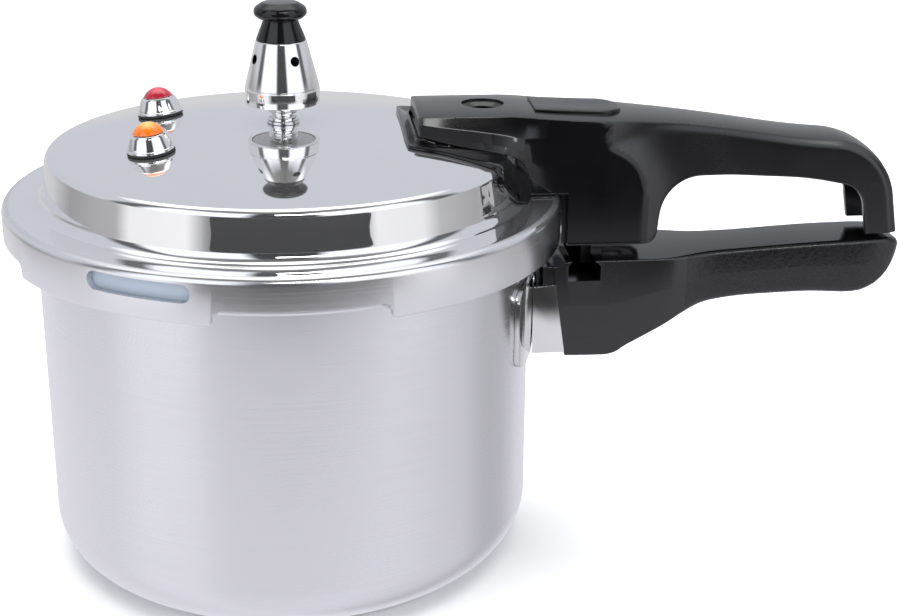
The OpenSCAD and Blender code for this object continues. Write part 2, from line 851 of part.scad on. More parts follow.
// Flared front of the cover: its top face blends out to the parting line on the saddle
module cover_front(d) {
    hull() {
        translate([front_x + 0.2 + d, -grip_w + d, grip_top - 1.2 - d])
            cube([31, 2 * (grip_w - d), 1]);
        for (s = [-1, 1])
            for (p = [[front_x + 1.6, 22.6, 24.6], [62, 24.4, 21.2], [80, 24.8, 18.8], [88, 21.5, 15]])
                translate([p[0] + (p[0] < 60 ? d : -d), s * (p[1] - d), flange_z + p[2] - d])
                    cylinder(r = 0.4, h = 0.8, $fn = 12);
        translate([60, -17, grip_top - 8 - d])
            cube([32, 34, 1]);
    }
}

// Under side of the cover's front: the parting face that meets the saddle
module parting_cut(gap) {
    side_plate(60)
        polygon([
            [20, flange_z + 23.9 + gap], [front_x + 2.6, flange_z + 23.9 + gap], [62, flange_z + 20.6 + gap],
            [72, flange_z + 18.9 + gap], [83, flange_z + 16.8 + gap], [87.4, flange_z + 13.6 + gap],
            [89.8 + gap, flange_z + 10.3], [91 + gap, flange_z + 5], [91 + gap, 60], [20, 60]
        ]);
}

module cover_outside() {
    intersection() {
        side_plate(40)
            cover_profile();
        linear_extrude(height = 250)
            cover_plan(0);
    }
    cover_front(0);
}

module handle_cover() {
    w = grip_wall;
    color([0.08, 0.08, 0.085])
        difference() {
            union() {
                difference() {
                    cover_outside();
                    intersection() {
                        side_plate(40)
                            cover_cavity();
                        linear_extrude(height = 250)
                            cover_plan(w);
                    }
                    cover_front(w);
                }
                // bosses for the two rear screws
                for (s = [-1, 1])
                    translate([cover_screw_at[0], s * cover_screw_at[1], strap_z + strap_t + 0.3])
                        cylinder(r = 4, h = grip_top - 6 - strap_z - strap_t, $fn = fine_fn);
                // rib that the lock spring rests against
                on_slope()
                    translate([-21.2, -6, rod_top - 5])
                        cube([1.4, 12, 3.4 - rod_top]);
                // bosses for the brass inserts of the two front screws
                for (s = [-1, 1])
                    translate([screw_at[0], s * screw_at[1], insert_z - 0.2])
                        cylinder(r = insert_r + 1.8, h = grip_top - 1 - insert_z, $fn = fine_fn);
            }
            parting_cut(0);
            lid_envelope(0.2);
            on_slope()
                translate([-22, 0, rod_top - rod_h / 2])
                    rotate([0, 90, 0])
                        cylinder(r = 1.8, h = 4, $fn = fine_fn);
            for (s = [-1, 1])
                translate([screw_at[0], s * screw_at[1], insert_z - 1]) {
                    cylinder(r = insert_r + fit_gap, h = insert_h + 1, $fn = fine_fn);
                    cylinder(r = screw_r + 0.2, h = insert_h + 2.5, $fn = fine_fn);
                }
            for (s = [-1, 1])
                translate([cover_screw_at[0], s * cover_screw_at[1], strap_z - 10])
                    cylinder(r = screw_r + fit_gap, h = 28, $fn = fine_fn);
            // indicator hole with its wide bevel
            translate([sight_at, 0, grip_top - 10])
                cylinder(r = sight_r, h = 20);
            translate([sight_at, 0, grip_top - 1.6])
                cylinder(r1 = sight_r, r2 = sight_r + 3, h = 2);
            // slot for the stem of the thumb slider
            translate([slider_at[0] - 3 - lock_travel - 0.5, -4.5, grip_top - 9])
                cube([6 + lock_travel + 1, 9, 12]);
        }
}

// Corner posts of the flared saddle: x, half width, top and foot above the lid flange
saddle_posts = [
    [46.6, 31.4, 23.4, 12], [60.9, 36.4, 21.3, 10], [70.9, 42.2, 19.2, 8], [77.6, 45.6, 17.4, 0.2],
    [83.5, 39, 12, 0.2], [88, 31, 9, 0.2], [91, 24.5, 6, 0.2]
];

module handle_saddle() {
    color([0.09, 0.09, 0.09])
        difference() {
            union() {
                difference() {
                    hull() {
                        for (p = saddle_posts)
                            for (s = [-1, 1])
                                translate([p[0], s * p[1], flange_z + p[3]])
                                    cylinder(r = 0.8, h = p[2] - p[3], $fn = 12);
                        translate([50, -24, flange_z + 15])
                            cube([4, 48, 8.8]);
                        translate([50, -21, flange_z + 1])
                            cube([43, 42, 13]);
                    }
                    parting_keep();
                }
                // core that carries the latch guide and closes the block from below
                translate([88, -14.8, strap_z + 0.2])
                    cube([38, 29.6, 13.4]);
                translate([block_x + 0.3, -14.8, block_z + 0.4])
                    cube([126 - block_x - 0.3, 29.6, strap_z + 2 - block_z]);
                translate([125, -12.6, block_z + 0.4])
                    cube([block_end - 4 - 125, 25.2, strap_z + 13.2 - block_z]);
            }
            lid_envelope(0.15);
            // open channel for the indicator and the lock rod
            translate([64, -8, flange_z])
                cube([26, 16, 40]);
            translate([56, -4.6, flange_z + 20])
                cube([60, 9.2, 20]);
            translate([86, -4.6, strap_z + 10])
                cube([40, 9.2, 20]);
            // channel for the latch leg
            translate([block_x - 2, -5.4, block_z - 5])
                cube([20, 10.8, 60]);
            // bed for the lid bracket
            translate([84, -12.3, strap_z - 1])
                cube([50.5, 24.6, strap_t + 1.2]);
            translate([84, -12.3, strap_z - 1])
                cube([8.2, 24.6, 15]);
            for (s = [-1, 1]) {
                translate([screw_at[0], s * screw_at[1], crown_z - 20])
                    cylinder(r = 3.4 + fit_gap, h = 40, $fn = fine_fn);
                translate([cover_screw_at[0], s * cover_screw_at[1], block_z - 1]) {
                    cylinder(r = screw_r + 0.3, h = 60, $fn = fine_fn);
                    cylinder(r = 4.2, h = 5, $fn = fine_fn);
                }
                translate([cover_screw_at[0], s * cover_screw_at[1], strap_z])
                    cylinder(r = 4.3, h = 40, $fn = fine_fn);
            }
        }
}

// Everything above the parting face, which the cover owns
module parting_keep() {
    difference() {
        translate([0, -80, 100])
            cube([200, 160, 120]);
        parting_cut(-face_gap);
    }
}

// Places children at each rivet of the lid bracket, with +Z pointing out of the dome wall
module at_bracket_rivets() {
    for (a = [-5, 5])
        rotate([0, 0, a])
            translate([dome_r + 0.4, 0, flange_z + 8.8])
                rotate([0, 90, 0])
                    children();
}

module lid_bracket() {
    color([0.72, 0.72, 0.74])
        difference() {
            union() {
                intersection() {
                    ring_sector(strap_in, strap_in + strap_t, strap_z + fillet_r, flange_z + 13, 0, 60);
                    translate([60, -12, 0])
                        cube([60, 24, 300]);
                }
                difference() {
                    intersection() {
                        translate([strap_in - 2, -12, strap_z])
                            cube([134 - strap_in + 2, 24, strap_t]);
                        ring(dome_foot_r + fillet_r + 0.2, 200, 0, 300);
                    }
                    translate([block_x - 2, -5.2, strap_z - 1])
                        cube([17.8, 10.4, 5]);
                }
                intersection() {
                    rotate([0, 0, -30])
                        rotate_extrude(angle = 60)
                            polygon(concat(
                                arc([dome_foot_r + fillet_r + 0.35, flange_z + fillet_r + 0.2], fillet_r, 180, 270, 5),
                                arc([dome_foot_r + fillet_r + 0.35, flange_z + fillet_r + 0.2], fillet_r - strap_t, 270, 180, 4)
                            ));
                    translate([60, -12, 0])
                        cube([60, 24, 300]);
                }
            }
            at_bracket_rivets()
                cylinder(r = rivet_r + fit_gap, h = 16, center = true, $fn = fine_fn);
            for (s = [-1, 1])
                translate([cover_screw_at[0], s * cover_screw_at[1], strap_z - 5])
                    cylinder(r = screw_r + fit_gap, h = 20, $fn = fine_fn);
        }
}

module bracket_rivets() {
    color([0.75, 0.75, 0.77])
        at_bracket_rivets() {
            translate([0, 0, -lid_t - 1])
                cylinder(r = rivet_r, h = lid_t + strap_t + 2.2, $fn = fine_fn);
            translate([0, 0, -lid_t - 1.7])
                cylinder(r1 = 2.6, r2 = 3.4, h = 0.9, $fn = fine_fn);
            translate([0, 0, strap_t + 1.2])
                cylinder(r1 = 3.4, r2 = 2.6, h = 0.9, $fn = fine_fn);
        }
}

module lid_screws() {
    head_z = crown_at(norm(screw_at)) - lid_t - 3;
    color([0.7, 0.7, 0.72])
        for (s = [-1, 1])
            translate([screw_at[0], s * screw_at[1], head_z])
                screw(screw_r, 3.8, 2.2, grip_top - 4 - head_z);
}

module cover_inserts() {
    color([0.75, 0.6, 0.3])
        for (s = [-1, 1])
            translate([screw_at[0], s * screw_at[1], insert_z])
                ring(screw_r + fit_gap, insert_r, 0, insert_h);
}

module cover_screws() {
    color([0.7, 0.7, 0.72])
        for (s = [-1, 1])
            translate([cover_screw_at[0], s * cover_screw_at[1], block_z + 1.6])
                screw(screw_r, 3.8, 2.2, 34);
}

// ---------- lock ----------

// Frame that follows the top of the lid handle, where the thumb slider runs
module on_slope() {
    translate([slider_at[0], 0, slider_at[1] - 0.05 + (grip_top - 171.6)])
        rotate([0, slider_slope, 0])
            children();
}

module lock_slider() {
    color([0.09, 0.09, 0.09])
        on_slope() {
            intersection() {
                rotate([90, 0, 0])
                    linear_extrude(height = 30, center = true)
                        polygon([[-16.5, 0.5], [-16.5, 1.3], [5, 2], [14, 2.5], [17.3, 2.2], [17.6, 0.5]]);
                union() {
                    translate([-17, -10.4, -2])
                        cube([26, 20.8, 8]);
                    intersection() {
                        translate([6.8, 0, -2])
                            cylinder(r = 10.8, h = 8);
                        translate([-17, -10.4, -2])
                            cube([40, 20.8, 8]);
                    }
                }
            }
            translate([-2.6, -4, rod_top + 0.02])
                cube([5.2, 8, 0.7 - rod_top]);
        }
}

module lock_rod() {
    leg_x = notch_x[1] - 5.2;
    color([0.7, 0.7, 0.72])
        union() {
            on_slope() {
                translate([-6, -4, rod_top - rod_h])
                    cube([14, 8, rod_h]);
                translate([-25, 0, rod_top - rod_h / 2])
                    rotate([0, 90, 0])
                        cylinder(r = 1.4, h = 22, $fn = fine_fn);
            }
            translate([leg_x, -3.6, leg_foot])
                cube([4, 7.2, grip_top - 7.8 - leg_foot]);
        }
}

module lock_spring() {
    color([0.6, 0.6, 0.62])
        on_slope()
            translate([0, 0, rod_top - rod_h / 2])
                rotate([0, 90, 0])
                    coil_spring(2.3, 0.35, -19.5, -6.3, 5);
}

// ---------- output ----------

pot_body();
pot_bracket();
pot_rivets();
flame_guard();
pot_handle();
pot_handle_screws();
lid_shell();
lid_gasket();
vent_pipe();
vent_seal();
vent_nut();
vent_filter();
weight_core();
weight_shell();
weight_knob();
red_valve_housing();
red_valve_seal();
red_valve_nut();
red_valve_cap();
red_valve_spring();
red_valve_clip();
orange_valve_housing();
orange_valve_seal();
orange_valve_nut();
orange_valve_cap();
orange_valve_spring();
orange_valve_clip();
float_bush();
float_seal();
float_nut();
float_pin();
handle_cover();
handle_saddle();
lid_bracket();
bracket_rivets();
lid_screws();
cover_inserts();
cover_screws();
lock_slider();
lock_rod();
lock_spring();
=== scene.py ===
import json
import logging
import math
from dataclasses import dataclass, field
from enum import Enum
from typing import Callable, Sequence

import bmesh
import bpy
import numpy as np
from mathutils import Matrix, Vector

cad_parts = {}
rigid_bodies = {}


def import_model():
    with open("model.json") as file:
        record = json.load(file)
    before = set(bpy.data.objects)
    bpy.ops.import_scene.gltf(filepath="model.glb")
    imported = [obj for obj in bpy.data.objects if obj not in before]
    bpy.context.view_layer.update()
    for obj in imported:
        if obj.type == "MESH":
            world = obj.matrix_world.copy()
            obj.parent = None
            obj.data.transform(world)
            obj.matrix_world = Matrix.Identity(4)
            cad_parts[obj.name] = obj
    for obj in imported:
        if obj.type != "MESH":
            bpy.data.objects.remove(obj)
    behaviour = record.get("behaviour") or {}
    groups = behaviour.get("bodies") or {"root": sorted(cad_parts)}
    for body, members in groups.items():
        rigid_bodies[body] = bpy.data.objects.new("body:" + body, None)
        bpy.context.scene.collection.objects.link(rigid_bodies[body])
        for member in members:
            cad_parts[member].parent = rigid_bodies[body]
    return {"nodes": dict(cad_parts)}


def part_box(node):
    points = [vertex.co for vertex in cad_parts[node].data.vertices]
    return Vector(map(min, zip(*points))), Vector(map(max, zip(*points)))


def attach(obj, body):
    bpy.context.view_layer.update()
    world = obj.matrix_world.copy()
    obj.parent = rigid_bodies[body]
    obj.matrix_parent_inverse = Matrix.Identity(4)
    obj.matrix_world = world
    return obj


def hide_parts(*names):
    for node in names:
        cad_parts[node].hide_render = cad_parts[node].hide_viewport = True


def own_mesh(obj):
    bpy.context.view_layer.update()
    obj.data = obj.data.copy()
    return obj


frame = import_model()

LOG = logging.getLogger("pressure_cooker")
MM = 0.001

# The lid's outline where other pieces meet it, in mm
DOME_R = 87.7
DOME_FLARE = 1.1
CROWN_RISE = 8.2
CREASE_R = 3.0
LID_FILLET = 4.2
FLANGE_RISE = 10.6

Point = tuple[float, float]
Corner = tuple[float, float, float]
Colour = tuple[float, float, float]


# ---------------------------------------------------------------- outlines and tracks


def arc(cx: float, cy: float, r: float, a0: float, a1: float, steps: int) -> list[Point]:
    """Points along a circular arc.

    Args:
        cx, cy: centre of the arc, in mm.
        r: radius in mm.
        a0, a1: first and last angle, in degrees.
        steps: number of equal steps between them.

    Returns:
        The points, both ends included.
    """
    angles = [math.radians(a0 + (a1 - a0) * i / steps) for i in range(steps + 1)]
    return [(cx + r * math.cos(a), cy + r * math.sin(a)) for a in angles]


def soften(corners: Sequence[Corner], steps: int = 5, closed: bool = True) -> list[Point]:
    """Rounds each corner of an outline by its own radius.

    Args:
        corners: (x, y, radius) for each corner; radius 0 keeps it sharp.
        steps: number of steps round each corner.
        closed: whether the last corner joins the first.

    Returns:
        The rounded outline; every corner with a radius gives steps + 1 points.
    """
    points: list[Point] = []
    count = len(corners)
    for i, (x, y, r) in enumerate(corners):
        here = np.array([x, y])
        if r <= 0 or (not closed and i in (0, count - 1)):
            points.append((x, y))
            continue
        back = np.array(corners[i - 1][:2]) - here
        ahead = np.array(corners[(i + 1) % count][:2]) - here
        reach_back, reach_ahead = max(np.hypot(*back), 1e-6), max(np.hypot(*ahead), 1e-6)
        back, ahead = back / reach_back, ahead / reach_ahead
        half = math.acos(float(np.clip(back @ ahead, -1, 1))) / 2
        if half > math.radians(89) or half < math.radians(1):
            cut = 0.02
            points += [tuple(here + (back * (1 - k / steps) + ahead * (k / steps)) * cut)
                       for k in range(steps + 1)]
            continue
        cut = min(r / math.tan(half), 0.48 * reach_back, 0.48 * reach_ahead)
        radius = cut * math.tan(half)
        centre = here + (back + ahead) / np.hypot(*(back + ahead)) * radius / math.sin(half)
        start, end = here + back * cut - centre, here + ahead * cut - centre
        a0, a1 = math.atan2(start[1], start[0]), math.atan2(end[1], end[0])
        turn = (a1 - a0 + math.pi) % (2 * math.pi) - math.pi
        for k in range(steps + 1):
            a = a0 + turn * k / steps
            points.append((centre[0] + radius * math.cos(a), centre[1] + radius * math.sin(a)))
    return points


class Track:
    """A smooth curve through keys, which never swings past them."""

    def __init__(self, *keys: Sequence[float]) -> None:
        """Keeps the keys.

        Args:
            keys: rows of (position, value, value, ...), in rising position.
        """
        table = np.array(keys, float)
        self.at_x = table[:, 0]
        self.values = table[:, 1:]
        step = np.diff(self.at_x)[:, None]
        slope = np.diff(self.values, axis=0) / step
        self.tangent = np.zeros_like(self.values)
        self.tangent[0], self.tangent[-1] = slope[0], slope[-1]
        for i in range(1, len(self.at_x) - 1):
            same = slope[i - 1] * slope[i] > 0
            weight_a, weight_b = 2 * step[i] + step[i - 1], step[i] + 2 * step[i - 1]
            with np.errstate(divide="ignore", invalid="ignore"):
                mean = (weight_a + weight_b) / (weight_a / slope[i - 1] + weight_b / slope[i])
            self.tangent[i] = np.where(same, np.nan_to_num(mean), 0.0)

    def __call__(self, x: float) -> np.ndarray:
        """The values at x, held level past both ends."""
        x = float(np.clip(x, self.at_x[0], self.at_x[-1]))
        i = int(np.clip(np.searchsorted(self.at_x, x) - 1, 0, len(self.at_x) - 2))
        h = self.at_x[i + 1] - self.at_x[i]
        t = (x - self.at_x[i]) / h
        a, b = self.values[i], self.values[i + 1]
        ta, tb = self.tangent[i] * h, self.tangent[i + 1] * h
        return (
            (2 * t**3 - 3 * t**2 + 1) * a + (t**3 - 2 * t**2 + t) * ta
            + (-2 * t**3 + 3 * t**2) * b + (t**3 - t**2) * tb
        )


# ---------------------------------------------------------------- mesh making


def mesh_object(name: str, mesh: bpy.types.Mesh) -> bpy.types.Object:
    """Puts a mesh into the scene as an object at the origin."""
    obj = bpy.data.objects.new(name, mesh)
    bpy.context.scene.collection.objects.link(obj)
    return obj


def tidy(obj: bpy.types.Object, sharp_deg: float = 32.0, merge: float = 2e-6) -> bpy.types.Object:
    """Merges doubles, turns the faces outwards, and shades smooth between sharp edges.

    Args:
        obj: the piece, which is one or more closed solids.
        sharp_deg: an edge that bends more than this stays sharp.
        merge: points closer than this, in metres, become one.

    Returns:
        The same object.
    """
    work = bmesh.new()
    work.from_mesh(obj.data)
    bmesh.ops.remove_doubles(work, verts=work.verts, dist=merge)
    bmesh.ops.dissolve_degenerate(work, edges=work.edges, dist=merge)
    bmesh.ops.recalc_face_normals(work, faces=work.faces)
    for face in work.faces:
        face.smooth = True
    work.to_mesh(obj.data)
    work.free()
    obj.data.set_sharp_from_angle(angle=math.radians(sharp_deg))
    return obj


def solid_from(name: str, points: np.ndarray, faces: list[list[int]]) -> bpy.types.Object:
    """A piece from points in mm and faces."""
    mesh = bpy.data.meshes.new(name)
    mesh.from_pydata([tuple(p) for p in np.asarray(points) * MM], [], faces)
    mesh.update()
    return mesh_object(name, mesh)


def lofted(name: str, sections: Sequence[np.ndarray], sharp_deg: float = 32.0) -> bpy.types.Object:
    """A closed solid through a row of closed sections that have the same number of points.

    Args:
        name: name of the piece.
        sections: arrays of shape (points, 3), in mm.
        sharp_deg: an edge that bends more than this stays sharp.

    Returns:
        The piece, capped at both ends.
    """
    rows, size = len(sections), len(sections[0])
    faces = [
        [r * size + c, r * size + (c + 1) % size, (r + 1) * size + (c + 1) % size, (r + 1) * size + c]
        for r in range(rows - 1)
        for c in range(size)
    ]
    faces.append(list(range(size)))
    faces.append([(rows - 1) * size + c for c in reversed(range(size))])
    return tidy(solid_from(name, np.concatenate(sections), faces), sharp_deg)


def bent_prism(name: str, outline: Sequence[Point], r_in: float, r_out: float) -> bpy.types.Object:
    """A solid whose outline lies on a cylinder round the pot's axis.

    Args:
        name: name of the piece.
        outline: (angle in degrees, height in mm) points.
        r_in: inner radius in mm.
        r_out: outer radius in mm.

    Returns:
        The piece.
    """
    rings = []
    for r in (r_in, r_out):
        rings.append(np.array([
            (r * math.cos(math.radians(a)), r * math.sin(math.radians(a)), z) for a, z in outline
        ]))
    return lofted(name, rings)


def swapped(obj: bpy.types.Object) -> bpy.types.Object:
    """Bakes an object's modifiers into its own mesh and removes them."""
    bpy.context.view_layer.update()
    graph = bpy.context.evaluated_depsgraph_get()
    baked = bpy.data.meshes.new_from_object(obj.evaluated_get(graph))
    old = obj.data
    obj.modifiers.clear()
    obj.data = baked
    bpy.data.meshes.remove(old)
    return obj


def carve(obj: bpy.types.Object, tools: Sequence[bpy.types.Object],
          sharp_deg: float = 32.0) -> bpy.types.Object:
    """Cuts tools out of a piece and removes them.

    Args:
        obj: the piece.
        tools: closed solids to take away.
        sharp_deg: an edge that bends more than this stays sharp.

    Returns:
        The piece.
    """
    for tool in tools:
        cut = obj.modifiers.new("cut", "BOOLEAN")
        cut.operation = "DIFFERENCE"
        cut.solver = "EXACT"
        cut.object = tool
    swapped(obj)
    for tool in tools:
        bpy.data.objects.remove(tool)
    return tidy(obj, sharp_deg)


def joined(obj: bpy.types.Object, others: Sequence[bpy.types.Object]) -> bpy.types.Object:
    """Adds other pieces' meshes to a piece's own mesh."""
    work = bmesh.new()
    work.from_mesh(obj.data)
    for other in others:
        work.from_mesh(other.data)
    work.to_mesh(obj.data)
    work.free()
    for other in others:
        bpy.data.objects.remove(other)
    obj.data.set_sharp_from_angle(angle=math.radians(32))
    return obj


def eased_copy(node: str, name: str, width: float, angle: float = 30.0) -> bpy.types.Object:
    """A copy of a CAD node's shape with its edges eased, as a real pressed or moulded part has.

    Args:
        node: the CAD node.
        name: name of the new piece.
        width: width of the eased edge, in mm.
        angle: edges that bend more than this, in degrees, are eased.

    Returns:
        The new piece.
    """
    obj = mesh_object(name, frame["nodes"][node].data.copy())
    obj.data.materials.clear()
    work = bmesh.new()
    work.from_mesh(obj.data)
    bmesh.ops.remove_doubles(work, verts=work.verts, dist=2e-6)
    bmesh.ops.dissolve_limit(work, angle_limit=math.radians(0.4), verts=work.verts, edges=work.edges)
    for face in work.faces:
        face.smooth = True
    work.to_mesh(obj.data)
    work.free()
    bevel = obj.modifiers.new("eased", "BEVEL")
    bevel.width = width * MM
    bevel.segments = 3
    bevel.limit_method = "ANGLE"
    bevel.angle_limit = math.radians(angle)
    swapped(obj)
    obj.data.set_sharp_from_angle(angle=math.radians(40))
    return obj


# ---------------------------------------------------------------- geometry node trees


class Tree:
    """A Geometry Nodes tree with named inputs, built in the script."""

    def __init__(self, name: str, inputs: dict[str, tuple[str, float | int | None]]) -> None:
        """Makes the tree with its inputs.

        Args:
            name: name of the tree.
            inputs: for each input its socket type and its default.
        """
        self.group = bpy.data.node_groups.new(name, "GeometryNodeTree")
        self.group.interface.new_socket("Geometry", in_out="INPUT", socket_type="NodeSocketGeometry")
        self.ids: dict[str, str] = {}
        for label, (kind, default) in inputs.items():
            socket = self.group.interface.new_socket(label, in_out="INPUT", socket_type=kind)
            if default is not None:
                socket.default_value = default
            self.ids[label] = socket.identifier
        self.group.interface.new_socket("Geometry", in_out="OUTPUT", socket_type="NodeSocketGeometry")
        self.source = self.group.nodes.new("NodeGroupInput")
        self.sink = self.group.nodes.new("NodeGroupOutput")

    def add(self, kind: str, values: dict[str, object] | None = None, **settings: object) -> bpy.types.Node:
        """Adds a node.

        Args:
            kind: the node's type name.
            values: for each of its inputs a value, or a socket to link from.
            settings: the node's own options.

        Returns:
            The node.
        """
        node = self.group.nodes.new(kind)
        for key, value in settings.items():
            setattr(node, key, value)
        for key, value in (values or {}).items():
            socket = node.inputs[key]
            if isinstance(value, bpy.types.NodeSocket):
                self.group.links.new(value, socket)
            else:
                socket.default_value = value
        return node

    def given(self, label: str) -> bpy.types.NodeSocket:
        """The tree's own input of that name."""
        return self.source.outputs[label]

    def close(self, geometry: bpy.types.NodeSocket) -> None:
        """Ends the tree in smooth shading, real geometry and its material."""
        smooth = self.add("GeometryNodeSetShadeSmooth", {"Geometry": geometry})
        real = self.add("GeometryNodeRealizeInstances", {"Geometry": smooth.outputs[0]})
        painted = self.add("GeometryNodeSetMaterial",
                           {"Geometry": real.outputs[0], "Material": self.given("Material")})
        self.group.links.new(painted.outputs[0], self.sink.inputs[0])

    def run(self, name: str, base: bpy.types.Mesh, values: dict[str, object]) -> bpy.types.Object:
        """Runs the tree on a base mesh.

        Args:
            name: name of the new piece.
            base: the mesh that the tree starts from.
            values: for each input its value.

        Returns:
            A plain mesh object.
        """
        obj = mesh_object(name, base)
        work = obj.modifiers.new(name, "NODES")
        work.node_group = self.group
        for label, value in values.items():
            work[self.ids[label]] = value
        return swapped(obj)


MATERIAL_INPUT = {"Material": ("NodeSocketMaterial", None)}


def turned_tree() -> Tree:
    """The tree that turns an outline round the Z axis, as a lathe or a spinning chuck does."""
    tree = Tree("turned part", {
        "Segments": ("NodeSocketInt", 192),
        "Chuck radius": ("NodeSocketFloat", 0.2),
        "Merge": ("NodeSocketFloat", 1e-6),
        **MATERIAL_INPUT,
    })
    outline = tree.add("GeometryNodeMeshToCurve", {"Mesh": tree.given("Geometry")})
    chuck = tree.add("GeometryNodeCurvePrimitiveCircle", {
        "Resolution": tree.given("Segments"), "Radius": tree.given("Chuck radius"),
    })
    shell = tree.add("GeometryNodeCurveToMesh", {
        "Curve": chuck.outputs["Curve"], "Profile Curve": outline.outputs["Curve"],
    })
    closed = tree.add("GeometryNodeMergeByDistance",
                      {"Geometry": shell.outputs["Mesh"], "Distance": tree.given("Merge")})
    tree.close(closed.outputs[0])
    return tree


def coil_tree() -> Tree:
    """The tree that winds a wire spring up the Z axis."""
    tree = Tree("wire coil", {
        "Turns": ("NodeSocketFloat", 5.0),
        "Coil radius": ("NodeSocketFloat", 0.003),
        "Wire radius": ("NodeSocketFloat", 0.0004),
        "Length": ("NodeSocketFloat", 0.01),
        **MATERIAL_INPUT,
    })
    wire = tree.add("GeometryNodeCurveSpiral", {
        "Resolution": 24, "Rotations": tree.given("Turns"), "Start Radius": tree.given("Coil radius"),
        "End Radius": tree.given("Coil radius"), "Height": tree.given("Length"),
    })
    section = tree.add("GeometryNodeCurvePrimitiveCircle",
                       {"Resolution": 10, "Radius": tree.given("Wire radius")})
    spring = tree.add("GeometryNodeCurveToMesh", {
        "Curve": wire.outputs[0], "Profile Curve": section.outputs["Curve"], "Fill Caps": True,
    })
    tree.close(spring.outputs["Mesh"])
    return tree


def fastener_tree() -> Tree:
    """The tree that sets one turned fastener at every point, along that point's own direction."""
    tree = Tree("fastener set", {
        "Shank radius": ("NodeSocketFloat", 0.002),
        "Shank length": ("NodeSocketFloat", 0.005),
        "Head radius": ("NodeSocketFloat", 0.0036),
        "Head height": ("NodeSocketFloat", 0.0012),
        **MATERIAL_INPUT,
    })
    half = tree.add("ShaderNodeMath", {0: tree.given("Shank length"), 1: -0.5}, operation="MULTIPLY")
    down = tree.add("ShaderNodeCombineXYZ", {"Z": half.outputs[0]})
    shank = tree.add("GeometryNodeMeshCylinder", {
        "Vertices": 24, "Radius": tree.given("Shank radius"), "Depth": tree.given("Shank length"),
    })
    sunk = tree.add("GeometryNodeTransform",
                    {"Geometry": shank.outputs["Mesh"], "Translation": down.outputs[0]})
    dome = tree.add("GeometryNodeMeshUVSphere",
                    {"Segments": 32, "Rings": 16, "Radius": tree.given("Head radius")})
    ratio = tree.add("ShaderNodeMath", {0: tree.given("Head height"), 1: tree.given("Head radius")},
                     operation="DIVIDE")
    flat = tree.add("ShaderNodeCombineXYZ", {"X": 1.0, "Y": 1.0, "Z": ratio.outputs[0]})
    head = tree.add("GeometryNodeTransform", {"Geometry": dome.outputs["Mesh"], "Scale": flat.outputs[0]})
    both = tree.add("GeometryNodeJoinGeometry")
    tree.group.links.new(sunk.outputs[0], both.inputs[0])
    tree.group.links.new(head.outputs[0], both.inputs[0])
    heading = tree.add("GeometryNodeInputNamedAttribute", {"Name": "heading"}, data_type="FLOAT_VECTOR")
    turn = tree.add("FunctionNodeAlignRotationToVector", {"Vector": heading.outputs[0]}, axis="Z")
    placed = tree.add("GeometryNodeInstanceOnPoints", {
        "Points": tree.given("Geometry"), "Instance": both.outputs[0], "Rotation": turn.outputs[0],
    })
    tree.close(placed.outputs[0])
    return tree


# ---------------------------------------------------------------- finishes


class Grain(Enum):
    """What the eye finds on a surface from close up."""

    LATHE = "fine rings left by turning or spinning"
    POLISH = "a mirror with the faint haze of a polishing wheel"
    MOULD = "the soft unevenness of a moulded part"
    HIDE = "a fine leather-like grain for grip"
    CAST = "small random mottling"
    # LENS: the glow in the middle of the dome is a painted highlight of light through it, not a lamp.
    LENS = "a clear tinted dome that glows in its middle"


@dataclass(frozen=True)
class Finish:
    """One surface finish, from which a material is made."""

    label: str
    colour: Colour
    grain: Grain
    metallic: float = 0.0
    roughness: float = 0.3
    spread: float = 0.05
    relief: float = 0.02
    brushed: float = 0.0
    coat: float = 0.0
    transmission: float = 0.0
    subsurface: float = 0.0
    specular: float = 0.5
    tint: float = 0.03
    # core: colour of the painted highlight in the middle of a LENS dome.
    core: Colour = (1.0, 1.0, 1.0)

    def material(self) -> bpy.types.Material:
        """The material of this finish, made on first use."""
        found = bpy.data.materials.get(f"{self.label}_finish")
        return found if found else FinishBuilder(self).build()


